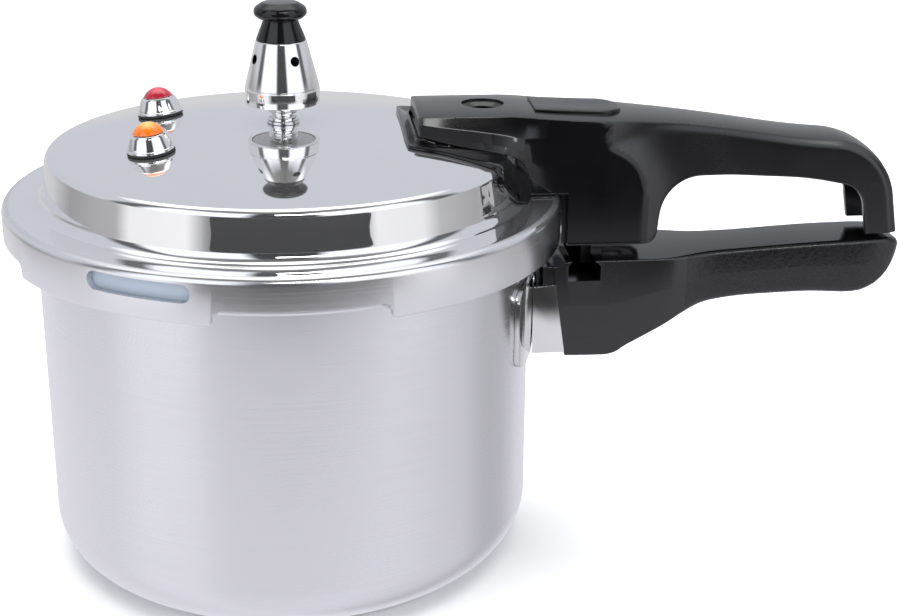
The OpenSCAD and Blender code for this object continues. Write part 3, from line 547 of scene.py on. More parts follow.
class FinishBuilder:
    """Makes the node material of one finish."""

    def __init__(self, finish: Finish) -> None:
        """Starts an empty material for the finish."""
        self.finish = finish
        self.material = bpy.data.materials.new(f"{finish.label}_finish")
        self.material.use_nodes = True
        self.nodes = self.material.node_tree.nodes
        self.links = self.material.node_tree.links
        self.shader = next(n for n in self.nodes if n.type == "BSDF_PRINCIPLED")

    def add(self, kind: str, values: dict[object, object] | None = None,
            **settings: object) -> bpy.types.Node:
        """Adds a node, with its options, and links or sets its inputs."""
        node = self.nodes.new(kind)
        for key, value in settings.items():
            setattr(node, key, value)
        for key, value in (values or {}).items():
            if isinstance(value, bpy.types.NodeSocket):
                self.links.new(value, node.inputs[key])
            else:
                node.inputs[key].default_value = value
        return node

    def math(self, operation: str, a: object, b: object = 0.0) -> bpy.types.NodeSocket:
        """The result of one Math node."""
        return self.add("ShaderNodeMath", {0: a, 1: b}, operation=operation).outputs[0]

    def ranged(self, value: bpy.types.NodeSocket, low: float, high: float, a: float = 0.3,
               b: float = 0.7) -> bpy.types.NodeSocket:
        """Maps a pattern from a..b onto low..high."""
        node = self.add("ShaderNodeMapRange",
                        {"Value": value, "From Min": a, "From Max": b, "To Min": low, "To Max": high})
        return node.outputs["Result"]

    def noise(self, vector: bpy.types.NodeSocket, scale: float,
              detail: float = 3.0) -> bpy.types.NodeSocket:
        """A noise pattern on a vector."""
        return self.add("ShaderNodeTexNoise",
                        {"Vector": vector, "Scale": scale, "Detail": detail}).outputs[0]

    def ring_vector(self, along: float, across: float) -> bpy.types.NodeSocket:
        """Coordinates that run round the pot's axis without a seam.

        Args:
            along: how fast the pattern changes round the axis.
            across: how fast it changes across the rings, per metre.

        Returns:
            The vector socket.
        """
        place = self.add("ShaderNodeTexCoord").outputs["Object"]
        split = self.add("ShaderNodeSeparateXYZ", {0: place})
        x, y, z = split.outputs
        r = self.math("SQRT", self.math("ADD", self.math("MULTIPLY", x, x), self.math("MULTIPLY", y, y)))
        safe = self.math("MAXIMUM", r, 0.002)
        cos = self.math("MULTIPLY", self.math("DIVIDE", x, safe), along)
        sin = self.math("MULTIPLY", self.math("DIVIDE", y, safe), along)
        level = self.math("MULTIPLY", self.math("ADD", self.math("MULTIPLY", r, 1.31), z), across)
        return self.add("ShaderNodeCombineXYZ", {0: cos, 1: sin, 2: level}).outputs[0]

    def build(self) -> bpy.types.Material:
        """Sets the shader and its patterns.

        Returns:
            The finished material.
        """
        f = self.finish
        for socket, value in {
            "Metallic": f.metallic, "Coat Weight": f.coat, "Coat Roughness": 0.06,
            "Transmission Weight": f.transmission,
            "Subsurface Weight": f.subsurface, "Specular IOR Level": f.specular, "Anisotropic": f.brushed,
        }.items():
            self.shader.inputs[socket].default_value = value
        self.shader.inputs["Base Color"].default_value = (*f.colour, 1)
        self.shader.inputs["Roughness"].default_value = f.roughness
        if f.subsurface:
            self.shader.inputs["Subsurface Radius"].default_value = (0.004, 0.002, 0.001)
            self.shader.inputs["Subsurface Scale"].default_value = 1.0
        if f.brushed:
            self.shader.inputs["Anisotropic Rotation"].default_value = 0.25
            tangent = self.add("ShaderNodeTangent", direction_type="RADIAL", axis="Z")
            self.links.new(tangent.outputs[0], self.shader.inputs["Tangent"])
        {
            Grain.LATHE: self.lathe, Grain.POLISH: self.polish, Grain.MOULD: self.mould,
            Grain.HIDE: self.hide, Grain.CAST: self.cast, Grain.LENS: self.lens,
        }[f.grain]()
        return self.material

    def dress(self, rough: bpy.types.NodeSocket, height: bpy.types.NodeSocket, shade: bpy.types.NodeSocket,
              depth: float) -> None:
        """Links a roughness, a height and a shade pattern to the shader.

        Args:
            rough: pattern for the roughness, 0.3 to 0.7 in use.
            height: pattern for the bump.
            shade: pattern for the small change of colour.
            depth: depth of the bump, in metres.
        """
        f = self.finish
        spread = self.ranged(rough, max(f.roughness - f.spread, 0.01), f.roughness + f.spread)
        self.links.new(spread, self.shader.inputs["Roughness"])
        light = tuple(min(c * (1 + f.tint), 1.0) for c in f.colour)
        dark = tuple(c * (1 - f.tint) for c in f.colour)
        mix = self.add("ShaderNodeMix", {0: self.ranged(shade, 0.0, 1.0)}, data_type="RGBA")
        mix.inputs[6].default_value = (*dark, 1)
        mix.inputs[7].default_value = (*light, 1)
        self.links.new(mix.outputs[2], self.shader.inputs["Base Color"])
        bump = self.add("ShaderNodeBump", {"Strength": 1.0, "Distance": depth, "Height": height})
        self.links.new(bump.outputs[0], self.shader.inputs["Normal"])

    def lathe(self) -> None:
        """Fine rings, with a few longer scuffs and a slow change of haze."""
        fine = self.noise(self.ring_vector(2.5, 5200.0), 1.0, 2.0)
        coarse = self.noise(self.ring_vector(1.2, 900.0), 1.0, 3.0)
        place = self.add("ShaderNodeTexCoord").outputs["Object"]
        cloud = self.noise(place, 22.0, 4.0)
        rings = self.math("ADD", self.math("MULTIPLY", fine, 0.6), self.math("MULTIPLY", coarse, 0.4))
        haze = self.math("ADD", self.math("MULTIPLY", rings, 0.6), self.math("MULTIPLY", cloud, 0.4))
        self.dress(haze, rings, haze, self.finish.relief * MM)

    def polish(self) -> None:
        """A near mirror with a faint haze that changes slowly over the surface."""
        place = self.add("ShaderNodeTexCoord").outputs["Object"]
        cloud = self.noise(place, 35.0, 5.0)
        rings = self.noise(self.ring_vector(1.5, 1500.0), 1.0, 2.0)
        haze = self.math("ADD", self.math("MULTIPLY", cloud, 0.65), self.math("MULTIPLY", rings, 0.35))
        self.dress(haze, self.math("ADD", rings, cloud), cloud, self.finish.relief * MM)

    def mould(self) -> None:
        """Soft flow unevenness and a very fine surface."""
        place = self.add("ShaderNodeTexCoord").outputs["Object"]
        flow = self.noise(place, 45.0, 3.0)
        fine = self.noise(place, 2600.0, 2.0)
        both = self.math("ADD", self.math("MULTIPLY", flow, 0.5), self.math("MULTIPLY", fine, 0.5))
        self.dress(both, fine, flow, self.finish.relief * MM)

    def hide(self) -> None:
        """A pebbled leather-like grain."""
        place = self.add("ShaderNodeTexCoord").outputs["Object"]
        warp = self.add("ShaderNodeTexNoise", {"Vector": place, "Scale": 500.0, "Detail": 2.0})
        pebble = self.add("ShaderNodeTexVoronoi", {"Vector": place, "Scale": 900.0}, feature="SMOOTH_F1")
        cells = self.math("ADD", pebble.outputs["Distance"], self.math("MULTIPLY", warp.outputs[0], 0.5))
        self.dress(cells, cells, warp.outputs[0], self.finish.relief * MM)

    def lens(self) -> None:
        """A tinted dome with a painted highlight: paler in its middle, by the weight in its vertex
        attribute.
        """
        self.mould()
        f = self.finish
        glow = self.add("ShaderNodeAttribute", attribute_name="glow",
                        attribute_type="GEOMETRY").outputs["Fac"]
        # Painted highlight: the dome's colour turns to the paler core colour where the weight is high.
        pale = self.add("ShaderNodeMix", {0: glow}, data_type="RGBA")
        pale.inputs[6].default_value = (*f.colour, 1)
        pale.inputs[7].default_value = (*f.core, 1)
        self.links.new(pale.outputs[2], self.shader.inputs["Base Color"])

    def cast(self) -> None:
        """Small random mottling."""
        place = self.add("ShaderNodeTexCoord").outputs["Object"]
        mottle = self.noise(place, 700.0, 4.0)
        self.dress(mottle, mottle, mottle, self.finish.relief * MM)


POT_WALL = Finish("pot_aluminium", (0.88, 0.88, 0.895), Grain.LATHE, 1.0, 0.25, 0.06, 0.012, brushed=0.5,
                  tint=0.035)
POT_INSIDE = Finish("pot_inside", (0.80, 0.805, 0.82), Grain.LATHE, 1.0, 0.38, 0.06, 0.012, brushed=0.3)
LID_MIRROR = Finish("lid_aluminium", (0.90, 0.90, 0.905), Grain.POLISH, 0.965, 0.035, 0.02, 0.0004,
                    tint=0.01)
LID_BRUSHED = Finish("lid_skirt_brushed", (0.88, 0.88, 0.89), Grain.LATHE, 1.0, 0.24, 0.05, 0.010,
                     brushed=0.5, tint=0.02)
BRACKET_STEEL = Finish("bracket_steel", (0.80, 0.80, 0.80), Grain.POLISH, 1.0, 0.12, 0.05, 0.002)
RIVET_ALUMINIUM = Finish("rivet_aluminium", (0.80, 0.80, 0.82), Grain.CAST, 1.0, 0.3, 0.08, 0.004)
GUARD_CHROME = Finish("guard_chrome", (0.86, 0.86, 0.86), Grain.POLISH, 1.0, 0.11, 0.04, 0.002)
CHROME = Finish("weight_chrome", (0.90, 0.895, 0.89), Grain.POLISH, 0.96, 0.035, 0.02, 0.0008, tint=0.01)
TURNED_STEEL = Finish("vent_steel", (0.74, 0.74, 0.745), Grain.CAST, 1.0, 0.2, 0.06, 0.003)
BLACKED_STEEL = Finish("blacked_steel", (0.018, 0.018, 0.019), Grain.CAST, 0.6, 0.34, 0.06, 0.003)
SCREW_STEEL = Finish("screw_steel", (0.66, 0.66, 0.68), Grain.CAST, 1.0, 0.28, 0.08, 0.004)
SPRING_STEEL = Finish("spring_steel", (0.6, 0.6, 0.62), Grain.CAST, 1.0, 0.25, 0.08, 0.003)
BRASS = Finish("insert_brass", (0.80, 0.62, 0.28), Grain.CAST, 1.0, 0.25, 0.08, 0.003)
PLATED_BRASS = Finish("insert_brass_plated", (0.50, 0.50, 0.50), Grain.CAST, 1.0, 0.3, 0.08, 0.003)
HANDLE_GLOSS = Finish("handle_black", (0.0035, 0.0035, 0.004), Grain.MOULD, 0.0, 0.12, 0.04, 0.0008,
                      tint=0.2)
HANDLE_SATIN = Finish("handle_black_satin", (0.005, 0.005, 0.0055), Grain.MOULD, 0.0, 0.24, 0.05, 0.002,
                      specular=0.75, tint=0.2)
HANDLE_HIDE = Finish("handle_black_grip", (0.005, 0.005, 0.0055), Grain.HIDE, 0.0, 0.24, 0.06, 0.055,
                     specular=0.6, tint=0.3)
SLIDER_SATIN = Finish("slider_satin", (0.005, 0.005, 0.0055), Grain.MOULD, 0.0, 0.30, 0.05, 0.003,
                      specular=0.7, tint=0.2)
KNOB_BLACK = Finish("knob_black", (0.004, 0.004, 0.0045), Grain.MOULD, 0.0, 0.11, 0.04, 0.0008, tint=0.2)
SEAL_RUBBER = Finish("seal_rubber", (0.025, 0.026, 0.026), Grain.CAST, 0.0, 0.6, 0.1, 0.006)
GASKET_SILICONE = Finish("gasket_silicone", (0.40, 0.46, 0.54), Grain.MOULD, 0.0, 0.4, 0.08, 0.004,
                         subsurface=0.15)
FLOAT_RED = Finish("float_red", (0.60, 0.03, 0.03), Grain.MOULD, 0.0, 0.35, 0.06, 0.003)
FLOAT_SILICONE = Finish("float_silicone", (0.5, 0.09, 0.07), Grain.MOULD, 0.0, 0.5, 0.06, 0.003)
# Each cap's core colour is the painted highlight in the middle of its dome.
RED_CAP = Finish("red_cap", (0.38, 0.004, 0.022), Grain.LENS, 0.0, 0.08, 0.03, 0.0008, coat=1.0,
                 transmission=0.15, subsurface=0.2,
                 core=(0.85, 0.05, 0.10))
ORANGE_CAP = Finish("orange_cap", (0.78, 0.16, 0.002), Grain.LENS, 0.0, 0.08, 0.03, 0.0008, coat=1.0,
                    transmission=0.15,
                    subsurface=0.2, core=(1.0, 0.55, 0.08))
FLOOR_WHITE = Finish("floor_white", (0.90, 0.90, 0.90), Grain.CAST, 0.0, 0.7, 0.05, 0.001, specular=0.2,
                     tint=0.005)


# ---------------------------------------------------------------- shared shop


@dataclass
class Shop:
    """The tools that every sub-assembly shares."""

    turned: Tree = field(default_factory=turned_tree)
    coil: Tree = field(default_factory=coil_tree)
    fasteners: Tree = field(default_factory=fastener_tree)
    chuck: float = 0.2

    def turn(self, name: str, outline: Sequence[Point], finish: Finish, segments: int = 192,
             closed: bool = True,
             sharp_deg: float = 32.0) -> bpy.types.Object:
        """Turns an outline of (radius, height) points in mm round the Z axis.

        Args:
            name: name of the piece.
            outline: the points, in order.
            finish: the finish of the whole piece.
            segments: number of steps round the axis.
            closed: False for an outline that starts and ends on the axis.
            sharp_deg: an edge that bends more than this stays sharp.

        Returns:
            The piece.
        """
        base = bpy.data.meshes.new(name)
        points = [(r * MM - self.chuck, -z * MM, 0.0) for r, z in outline]
        last = len(points) if closed else len(points) - 1
        base.from_pydata(points, [(i, (i + 1) % len(points)) for i in range(last)], [])
        obj = self.turned.run(name, base, {
            "Segments": segments, "Chuck radius": self.chuck, "Merge": 1e-6, "Material": finish.material(),
        })
        return tidy(obj, sharp_deg)

    def wind(self, name: str, coil_r: float, wire_r: float, length: float, turns: float,
             place: Matrix) -> bpy.types.Object:
        """Winds a spring and sets it in place.

        Args:
            name: name of the piece.
            coil_r: radius of the wire's centre line, in mm.
            wire_r: radius of the wire, in mm.
            length: length of the spring between its wire centres, in mm.
            turns: number of turns.
            place: where the foot of the spring stands and how it points.

        Returns:
            The piece.
        """
        obj = self.coil.run(name, bpy.data.meshes.new(name), {
            "Turns": turns, "Coil radius": coil_r * MM, "Wire radius": wire_r * MM, "Length": length * MM,
            "Material": SPRING_STEEL.material(),
        })
        obj.data.transform(place)
        return tidy(obj, 60)

    def fasten(self, name: str, seats: Sequence[tuple[Vector, Vector]], shank: Point, head: Point,
               finish: Finish) -> bpy.types.Object:
        """Sets one fastener at each seat.

        Args:
            name: name of the piece.
            seats: for each fastener, in mm, the middle of its head's foot, and the way its head points.
            shank: radius and length of the shank, in mm.
            head: radius and height of the domed head, in mm.
            finish: the finish.

        Returns:
            The piece.
        """
        base = bpy.data.meshes.new(name)
        base.from_pydata([tuple(place * MM) for place, _ in seats], [], [])
        ways = base.attributes.new("heading", "FLOAT_VECTOR", "POINT")
        ways.data.foreach_set("vector", [c for _, way in seats for c in way.normalized()])
        obj = self.fasteners.run(name, base, {
            "Shank radius": shank[0] * MM, "Shank length": shank[1] * MM, "Head radius": head[0] * MM,
            "Head height": head[1] * MM, "Material": finish.material(),
        })
        obj.data.set_sharp_from_angle(angle=math.radians(40))
        return obj


def paint(obj: bpy.types.Object, finishes: Sequence[Finish],
          rule: Callable[[Vector, Vector], int]) -> bpy.types.Object:
    """Gives each face of a piece one of several finishes.

    Args:
        obj: the piece.
        finishes: the finishes.
        rule: picks one from a face's centre, in mm, and its normal.

    Returns:
        The piece.
    """
    obj.data.materials.clear()
    for finish in finishes:
        obj.data.materials.append(finish.material())
    for face in obj.data.polygons:
        face.material_index = rule(face.center * 1000, face.normal)
    return obj


def hand_over(obj: bpy.types.Object, body: str, slot: str, *nodes: str) -> None:
    """Lets a finished piece ride on its body and stand for its CAD nodes.

    Args:
        obj: the piece.
        body: the CAD body that it moves with.
        slot: the record's material slot; not used.
        nodes: the CAD nodes that it stands for.
    """
    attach(obj, body)
    if nodes:
        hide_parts(*nodes)
    LOG.info("%s rides on %s and stands for %s", obj.name, body, ", ".join(nodes) or "no node")


def compress(coil: bpy.types.Object) -> None:
    """Gives a spring its own copy of its mesh.

    Args:
        coil: the spring.
    """
    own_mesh(coil)


def dress_nodes(finish: Finish, *nodes: str) -> None:
    """Gives CAD nodes that are shown as they are a proper material."""
    for name in nodes:
        mesh = frame["nodes"][name].data
        mesh.materials.clear()
        mesh.materials.append(finish.material())


# ---------------------------------------------------------------- levels that the sub-assemblies share


@dataclass(frozen=True)
class Levels:
    """Heights and radii of the pot and lid, in mm, read from the CAD frame where it gives them."""

    rim: float
    flange: float
    crown: float
    crown_radius: float
    skirt_radius: float
    hook: float
    grip_top: float

    @staticmethod
    def measured() -> "Levels":
        """Reads the levels from the boxes of the CAD nodes."""
        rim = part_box("pot_body")[1].z * 1000
        lid_low, lid_high = (corner * 1000 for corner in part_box("lid_shell"))
        radius = (DOME_R**2 + CROWN_RISE**2) / (2 * CROWN_RISE)
        return Levels(
            rim, rim + FLANGE_RISE, lid_high.z, radius, lid_high.x, lid_low.z,
            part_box("handle_cover")[1].z * 1000,
        )

    def crown_at(self, r: float) -> float:
        """Height of the crown at a distance from the axis."""
        return self.crown - self.crown_radius + math.sqrt(self.crown_radius**2 - r * r)

    def square_to_crown(self, r: float, deg: float) -> Matrix:
        """The frame that stands square on the crown, in metres."""
        tilt = math.asin(r / self.crown_radius)
        a = math.radians(deg)
        place = Vector((r * math.cos(a), r * math.sin(a), self.crown_at(r))) * MM
        return Matrix.Translation(place) @ Matrix.Rotation(a, 4, "Z") @ Matrix.Rotation(tilt, 4, "Y")


# ---------------------------------------------------------------- pot


@dataclass
class Pot:
    """The drawn aluminium body with its lugs, its bracket, heat shield and handle."""

    shop: Shop
    levels: Levels
    radius: float = 92.5
    wall: float = 2.5
    base: float = 4.0
    corner: float = 20.0
    flange_r: float = 97.5
    flange_t: float = 5.0
    lug_r: float = 101.3
    lug_t: float = 3.7
    gap_deg: float = 32.0
    gaps: tuple[float, ...] = (-87.5, -168.5, 92.5, 11.5)

    def body(self) -> None:
        """Spins the body from its outline and adds the four lugs."""
        rim = self.levels.rim
        outline = soften([
            (0, 0, 0), (self.radius, 0, self.corner), (self.radius, rim - self.flange_t, 1.0),
            (self.flange_r, rim - self.flange_t, 1.3), (self.flange_r, rim, 1.1),
            (self.radius - self.wall, rim, 0.8),
            (self.radius - self.wall, self.base, self.corner - self.wall),
            (0, self.base, 0),
        ], steps=14, closed=False)
        obj = self.shop.turn("pot_body_spun", outline, POT_WALL, segments=320, closed=False)
        lugs = []
        for i, gap in enumerate(sorted(self.gaps)):
            nxt = sorted(self.gaps)[(i + 1) % 4] + (360 if i == 3 else 0)
            a0, a1 = gap + self.gap_deg / 2, nxt - self.gap_deg / 2
            lugs.append(self.lug(a0, a1))
        joined(obj, lugs)
        inner = (self.radius - self.wall / 2)
        paint(obj, (POT_WALL, POT_INSIDE), lambda c,
              n: int(math.hypot(c.x, c.y) < inner and c.z > self.base / 2 and
              (n.z > 0.2 or n.x * c.x + n.y * c.y < 0)))
        hand_over(obj, "pot", "pot_aluminium", "pot_body")

    def lug(self, a0: float, a1: float) -> bpy.types.Object:
        """One lug of the rim, from angle a0 to a1, with rounded ends and edges."""
        rim = self.levels.rim
        section = soften([
            (self.flange_r - 1.5, rim - self.lug_t, 0), (self.lug_r, rim - self.lug_t, 0.6),
            (self.lug_r, rim - 0.03, 0.6), (self.flange_r - 1.5, rim - 0.03, 0),
        ], steps=4)
        steps = max(int((a1 - a0) / 1.2), 8)
        rings = []
        for k in range(steps + 1):
            a = math.radians(a0 + (a1 - a0) * k / steps)
            rings.append(np.array([(r * math.cos(a), r * math.sin(a), z) for r, z in section]))
        return lofted("lug", rings)

    def bracket(self) -> None:
        """The riveted steel plate, its rivets and the chromed shield round the handle's root."""
        plate = eased_copy("pot_bracket", "bracket_plate", 0.45)
        paint(plate, (BRACKET_STEEL,), lambda c, n: 0)
        hand_over(plate, "pot", "bracket_steel", "pot_bracket")
        seats = []
        for deg in (-7, 7):
            for z in (self.levels.rim - 46.1, self.levels.rim - 25.1):
                way = Vector((math.cos(math.radians(deg)), math.sin(math.radians(deg)), 0))
                seats.append((way * (self.radius + 2.0) + Vector((0, 0, z)), way))
        outer = self.shop.fasten("pot_rivet_heads", seats, (2.0, 4.4), (3.6, 1.3), RIVET_ALUMINIUM)
        inner = self.shop.fasten(
            "pot_rivet_tails", [(place - way * (self.wall + 2.1), -way) for place, way in seats],
            (2.0, 0.5), (3.6, 1.4),
            RIVET_ALUMINIUM,
        )
        joined(outer, [inner])
        hand_over(outer, "pot", "rivet_aluminium", "pot_rivets")
        shield = eased_copy("flame_guard", "heat_shield", 0.3)
        paint(shield, (GUARD_CHROME,), lambda c, n: 0)
        hand_over(shield, "pot", "guard_chrome", "flame_guard")

    def handle(self) -> None:
        """The long moulded handle, with the notch for the latch and the screw holes below."""
        outline = PotHandleShape(self.levels)
        obj = lofted("pot_handle_moulding", outline.sections(), 28)
        paint(obj, (HANDLE_GLOSS, HANDLE_SATIN, HANDLE_HIDE), outline.zone)
        rim = self.levels.rim
        notch = outline.notch_tool()
        holes = [
            self.shop.turn("hole",
                           [(0, 60), (4.4, 60), (4.4, rim - 50.6), (2.4, rim - 50.6), (2.4, rim - 44),
                            (0, rim - 44)],
                           HANDLE_SATIN, 48, closed=False) for _ in (0, 1)
        ]
        for hole, x in zip(holes, (113, 126)):
            hole.data.transform(Matrix.Translation((x * MM, 0, 0)))
        carve(obj, [notch, *holes], 28)
        hand_over(obj, "pot", "handle_black", "pot_handle")
        seats = [(Vector((x, 0, rim - 50.7)), Vector((0, 0, -1))) for x in (113, 126)]
        screws = self.shop.fasten("pot_handle_screw_set", seats, (2.0, 14), (4.0, 1.9), SCREW_STEEL)
        slots = []
        for x in (113, 126):
            box = np.array([(x + sx, sy, z) for z in (rim - 53.5, rim - 51.6) for sx,
                            sy in ((-4.5, -0.45), (4.5, -0.45), (4.5, 0.45), (-4.5, 0.45))])
            slots.append(lofted("slot", [box[:4], box[4:]]))
        carve(screws, slots, 40)
        hand_over(screws, "pot", "screw_steel", "pot_handle_screws")

    def build(self) -> None:
        """Builds the whole sub-assembly."""
        self.body()
        self.bracket()
        self.handle()


@dataclass
class PotHandleShape:
    """Sections of the pot handle, each between a point on its top and one on its underside."""

    levels: Levels
    top: Track = field(init=False)
    under: Track = field(init=False)
    half: Track = field(init=False)

    def __post_init__(self) -> None:
        """Sets the curves of the top, the underside and the half width."""
        rim = self.levels.rim
        self.top = Track((94, rim - 21.6), (95.2, rim - 19.3), (98.5, rim - 17.6), (102, rim - 17.2),
                         (105.2, rim - 15.6),
                         (109, rim - 15.5), (140, rim - 15.4), (170, rim - 14.3), (210.2, rim - 12.2),
                         (231.2, rim - 11.7))
        self.under = Track((94, rim - 51.1), (104, rim - 51.3), (106.3, rim - 54.4), (121, rim - 54.6),
                           (125.4, rim - 53.7),
                           (129.2, rim - 51.2), (135, rim - 48), (143.5, rim - 43.4), (151.3, rim - 39.6),
                           (162.6, rim - 35.9),
                           (178.2, rim - 34.2), (187.2, rim - 33.8), (202.2, rim - 33.4),
                           (218.2, rim - 34.3))
        self.half = Track((94, 18.1), (105, 19.15), (140, 19.1), (146, 18.6), (152, 16.9), (158, 15.1),
                          (166, 13.8), (180, 13.3),
                          (205, 13.4), (224.2, 13.1))

    def section(self, t: Point, b: Point, half: float, edge: float, belly: float) -> np.ndarray:
        """One closed section.

        Args:
            t, b: (x, z) of the top and of the underside.
            half: half width at the top.
            edge: radius of the top edge.
            belly: radius of the lower edge.

        Returns:
            The points of the section, in mm.
        """
        depth = math.hypot(b[0] - t[0], b[1] - t[1])
        draft = min(0.9, 0.03 * depth)
        ring = soften([
            (0, 0, 0), (half, 0, edge), (half + 0.05, depth * 0.45, 6), (half - draft, depth, belly),
            (0, depth, 0),
            (-(half - draft), depth, belly), (-(half + 0.05), depth * 0.45, 6), (-half, 0, edge),
        ], steps=7)
        dx, dz = (b[0] - t[0]) / depth, (b[1] - t[1]) / depth
        return np.array([(t[0] + dx * d, y, t[1] + dz * d) for y, d in ring])

    def sections(self) -> list[np.ndarray]:
        """All sections from the pot to the tip."""
        rim = self.levels.rim
        rows: list[np.ndarray] = []
        for x in (96.6, 97.6, 98.8, 100.0):
            lean = (x - 96.6) / 3.4
            rows.append(self.section((x, self.top(x)[0]), (x + 5.6 * lean, self.under(100)[0]), 18.05, 0.8,
                                     0.6))
        rows.append(self.section((100.1, self.top(100.1)[0]), (105.75, rim - 51.2), 18.05, 0.8, 0.6))
        rows.append(self.section((100.15, self.top(100.1)[0]), (105.8, rim - 54.3), 19.15, 0.7, 1.0))
        for k in range(1, 6):
            share = k / 5
            x_top, x_low = 100.15 + (110 - 100.15) * share, 105.8 + (110 - 105.8) * share
            rows.append(self.section((x_top, self.top(x_top)[0]), (x_low, self.under(x_low)[0]), 19.15, 0.7,
                                     1.2))
        for x in np.arange(112, 218.1, 1.5):
            grip = float(np.clip((x - 143) / 16, 0, 1))
            rows.append(self.section((x, self.top(x)[0]), (x, self.under(x)[0]), self.half(x)[0],
                                     0.7 + 1.3 * grip, 1.2 + 2.6 * grip))
        tip = [
            ((221.5, -11.85), (220.6, -34.2), 13.1, 2.0, 3.8),
            ((225.5, -11.75), (223.8, -33.9), 12.9, 2.0, 3.8),
            ((229.0, -11.7), (226.8, -33.0), 12.45, 2.0, 3.8),
            ((232.2, -11.75), (229.8, -31.6), 11.8, 2.0, 3.7),
            ((234.8, -11.95), (232.6, -29.5), 10.9, 2.0, 3.5),
            ((236.8, -12.5), (234.9, -27.0), 9.8, 2.0, 3.2),
            ((238.3, -13.5), (236.8, -24.1), 8.4, 1.9, 2.8),
            ((239.3, -15.0), (238.2, -21.7), 6.7, 1.6, 2.1),
            ((239.9, -16.5), (239.3, -19.9), 4.6, 1.0, 1.4),
            ((240.1, -17.6), (239.95, -18.7), 2.2, 0.4, 0.5),
        ]
        rows += [self.section((t[0], rim + t[1]), (b[0], rim + b[1]), w, e, m) for t, b, w, e, m in tip]
        return rows

    def notch_tool(self) -> bpy.types.Object:
        """The tool that cuts the latch notch, open towards the front, with chamfered mouth corners."""
        rim = self.levels.rim
        x0, x1, floor = 106.0, 118.5, rim - 23.4
        top, mouth = rim - 12, rim - 17.6
        outline = [(x0, floor), (x1, floor), (x1, mouth), (x1 - 2.4, mouth + 2.2), (x1 - 2.4, top),
                   (x0 + 1.6, top),
                   (x0 + 1.6, mouth + 2.2), (x0, mouth)]
        return lofted("notch", [np.array([(x, y, z) for x, z in outline]) for y in (-26.0, 7.0)])

    def zone(self, centre: Vector, normal: Vector) -> int:
        """Which finish a face takes: gloss on top, satin sides, grained grip."""
        if normal.z > 0.75:
            return 0
        if centre.x > 152 and abs(normal.y) > 0.55 and centre.z > self.levels.rim - 34:
            return 2
        return 1


# ---------------------------------------------------------------- lid


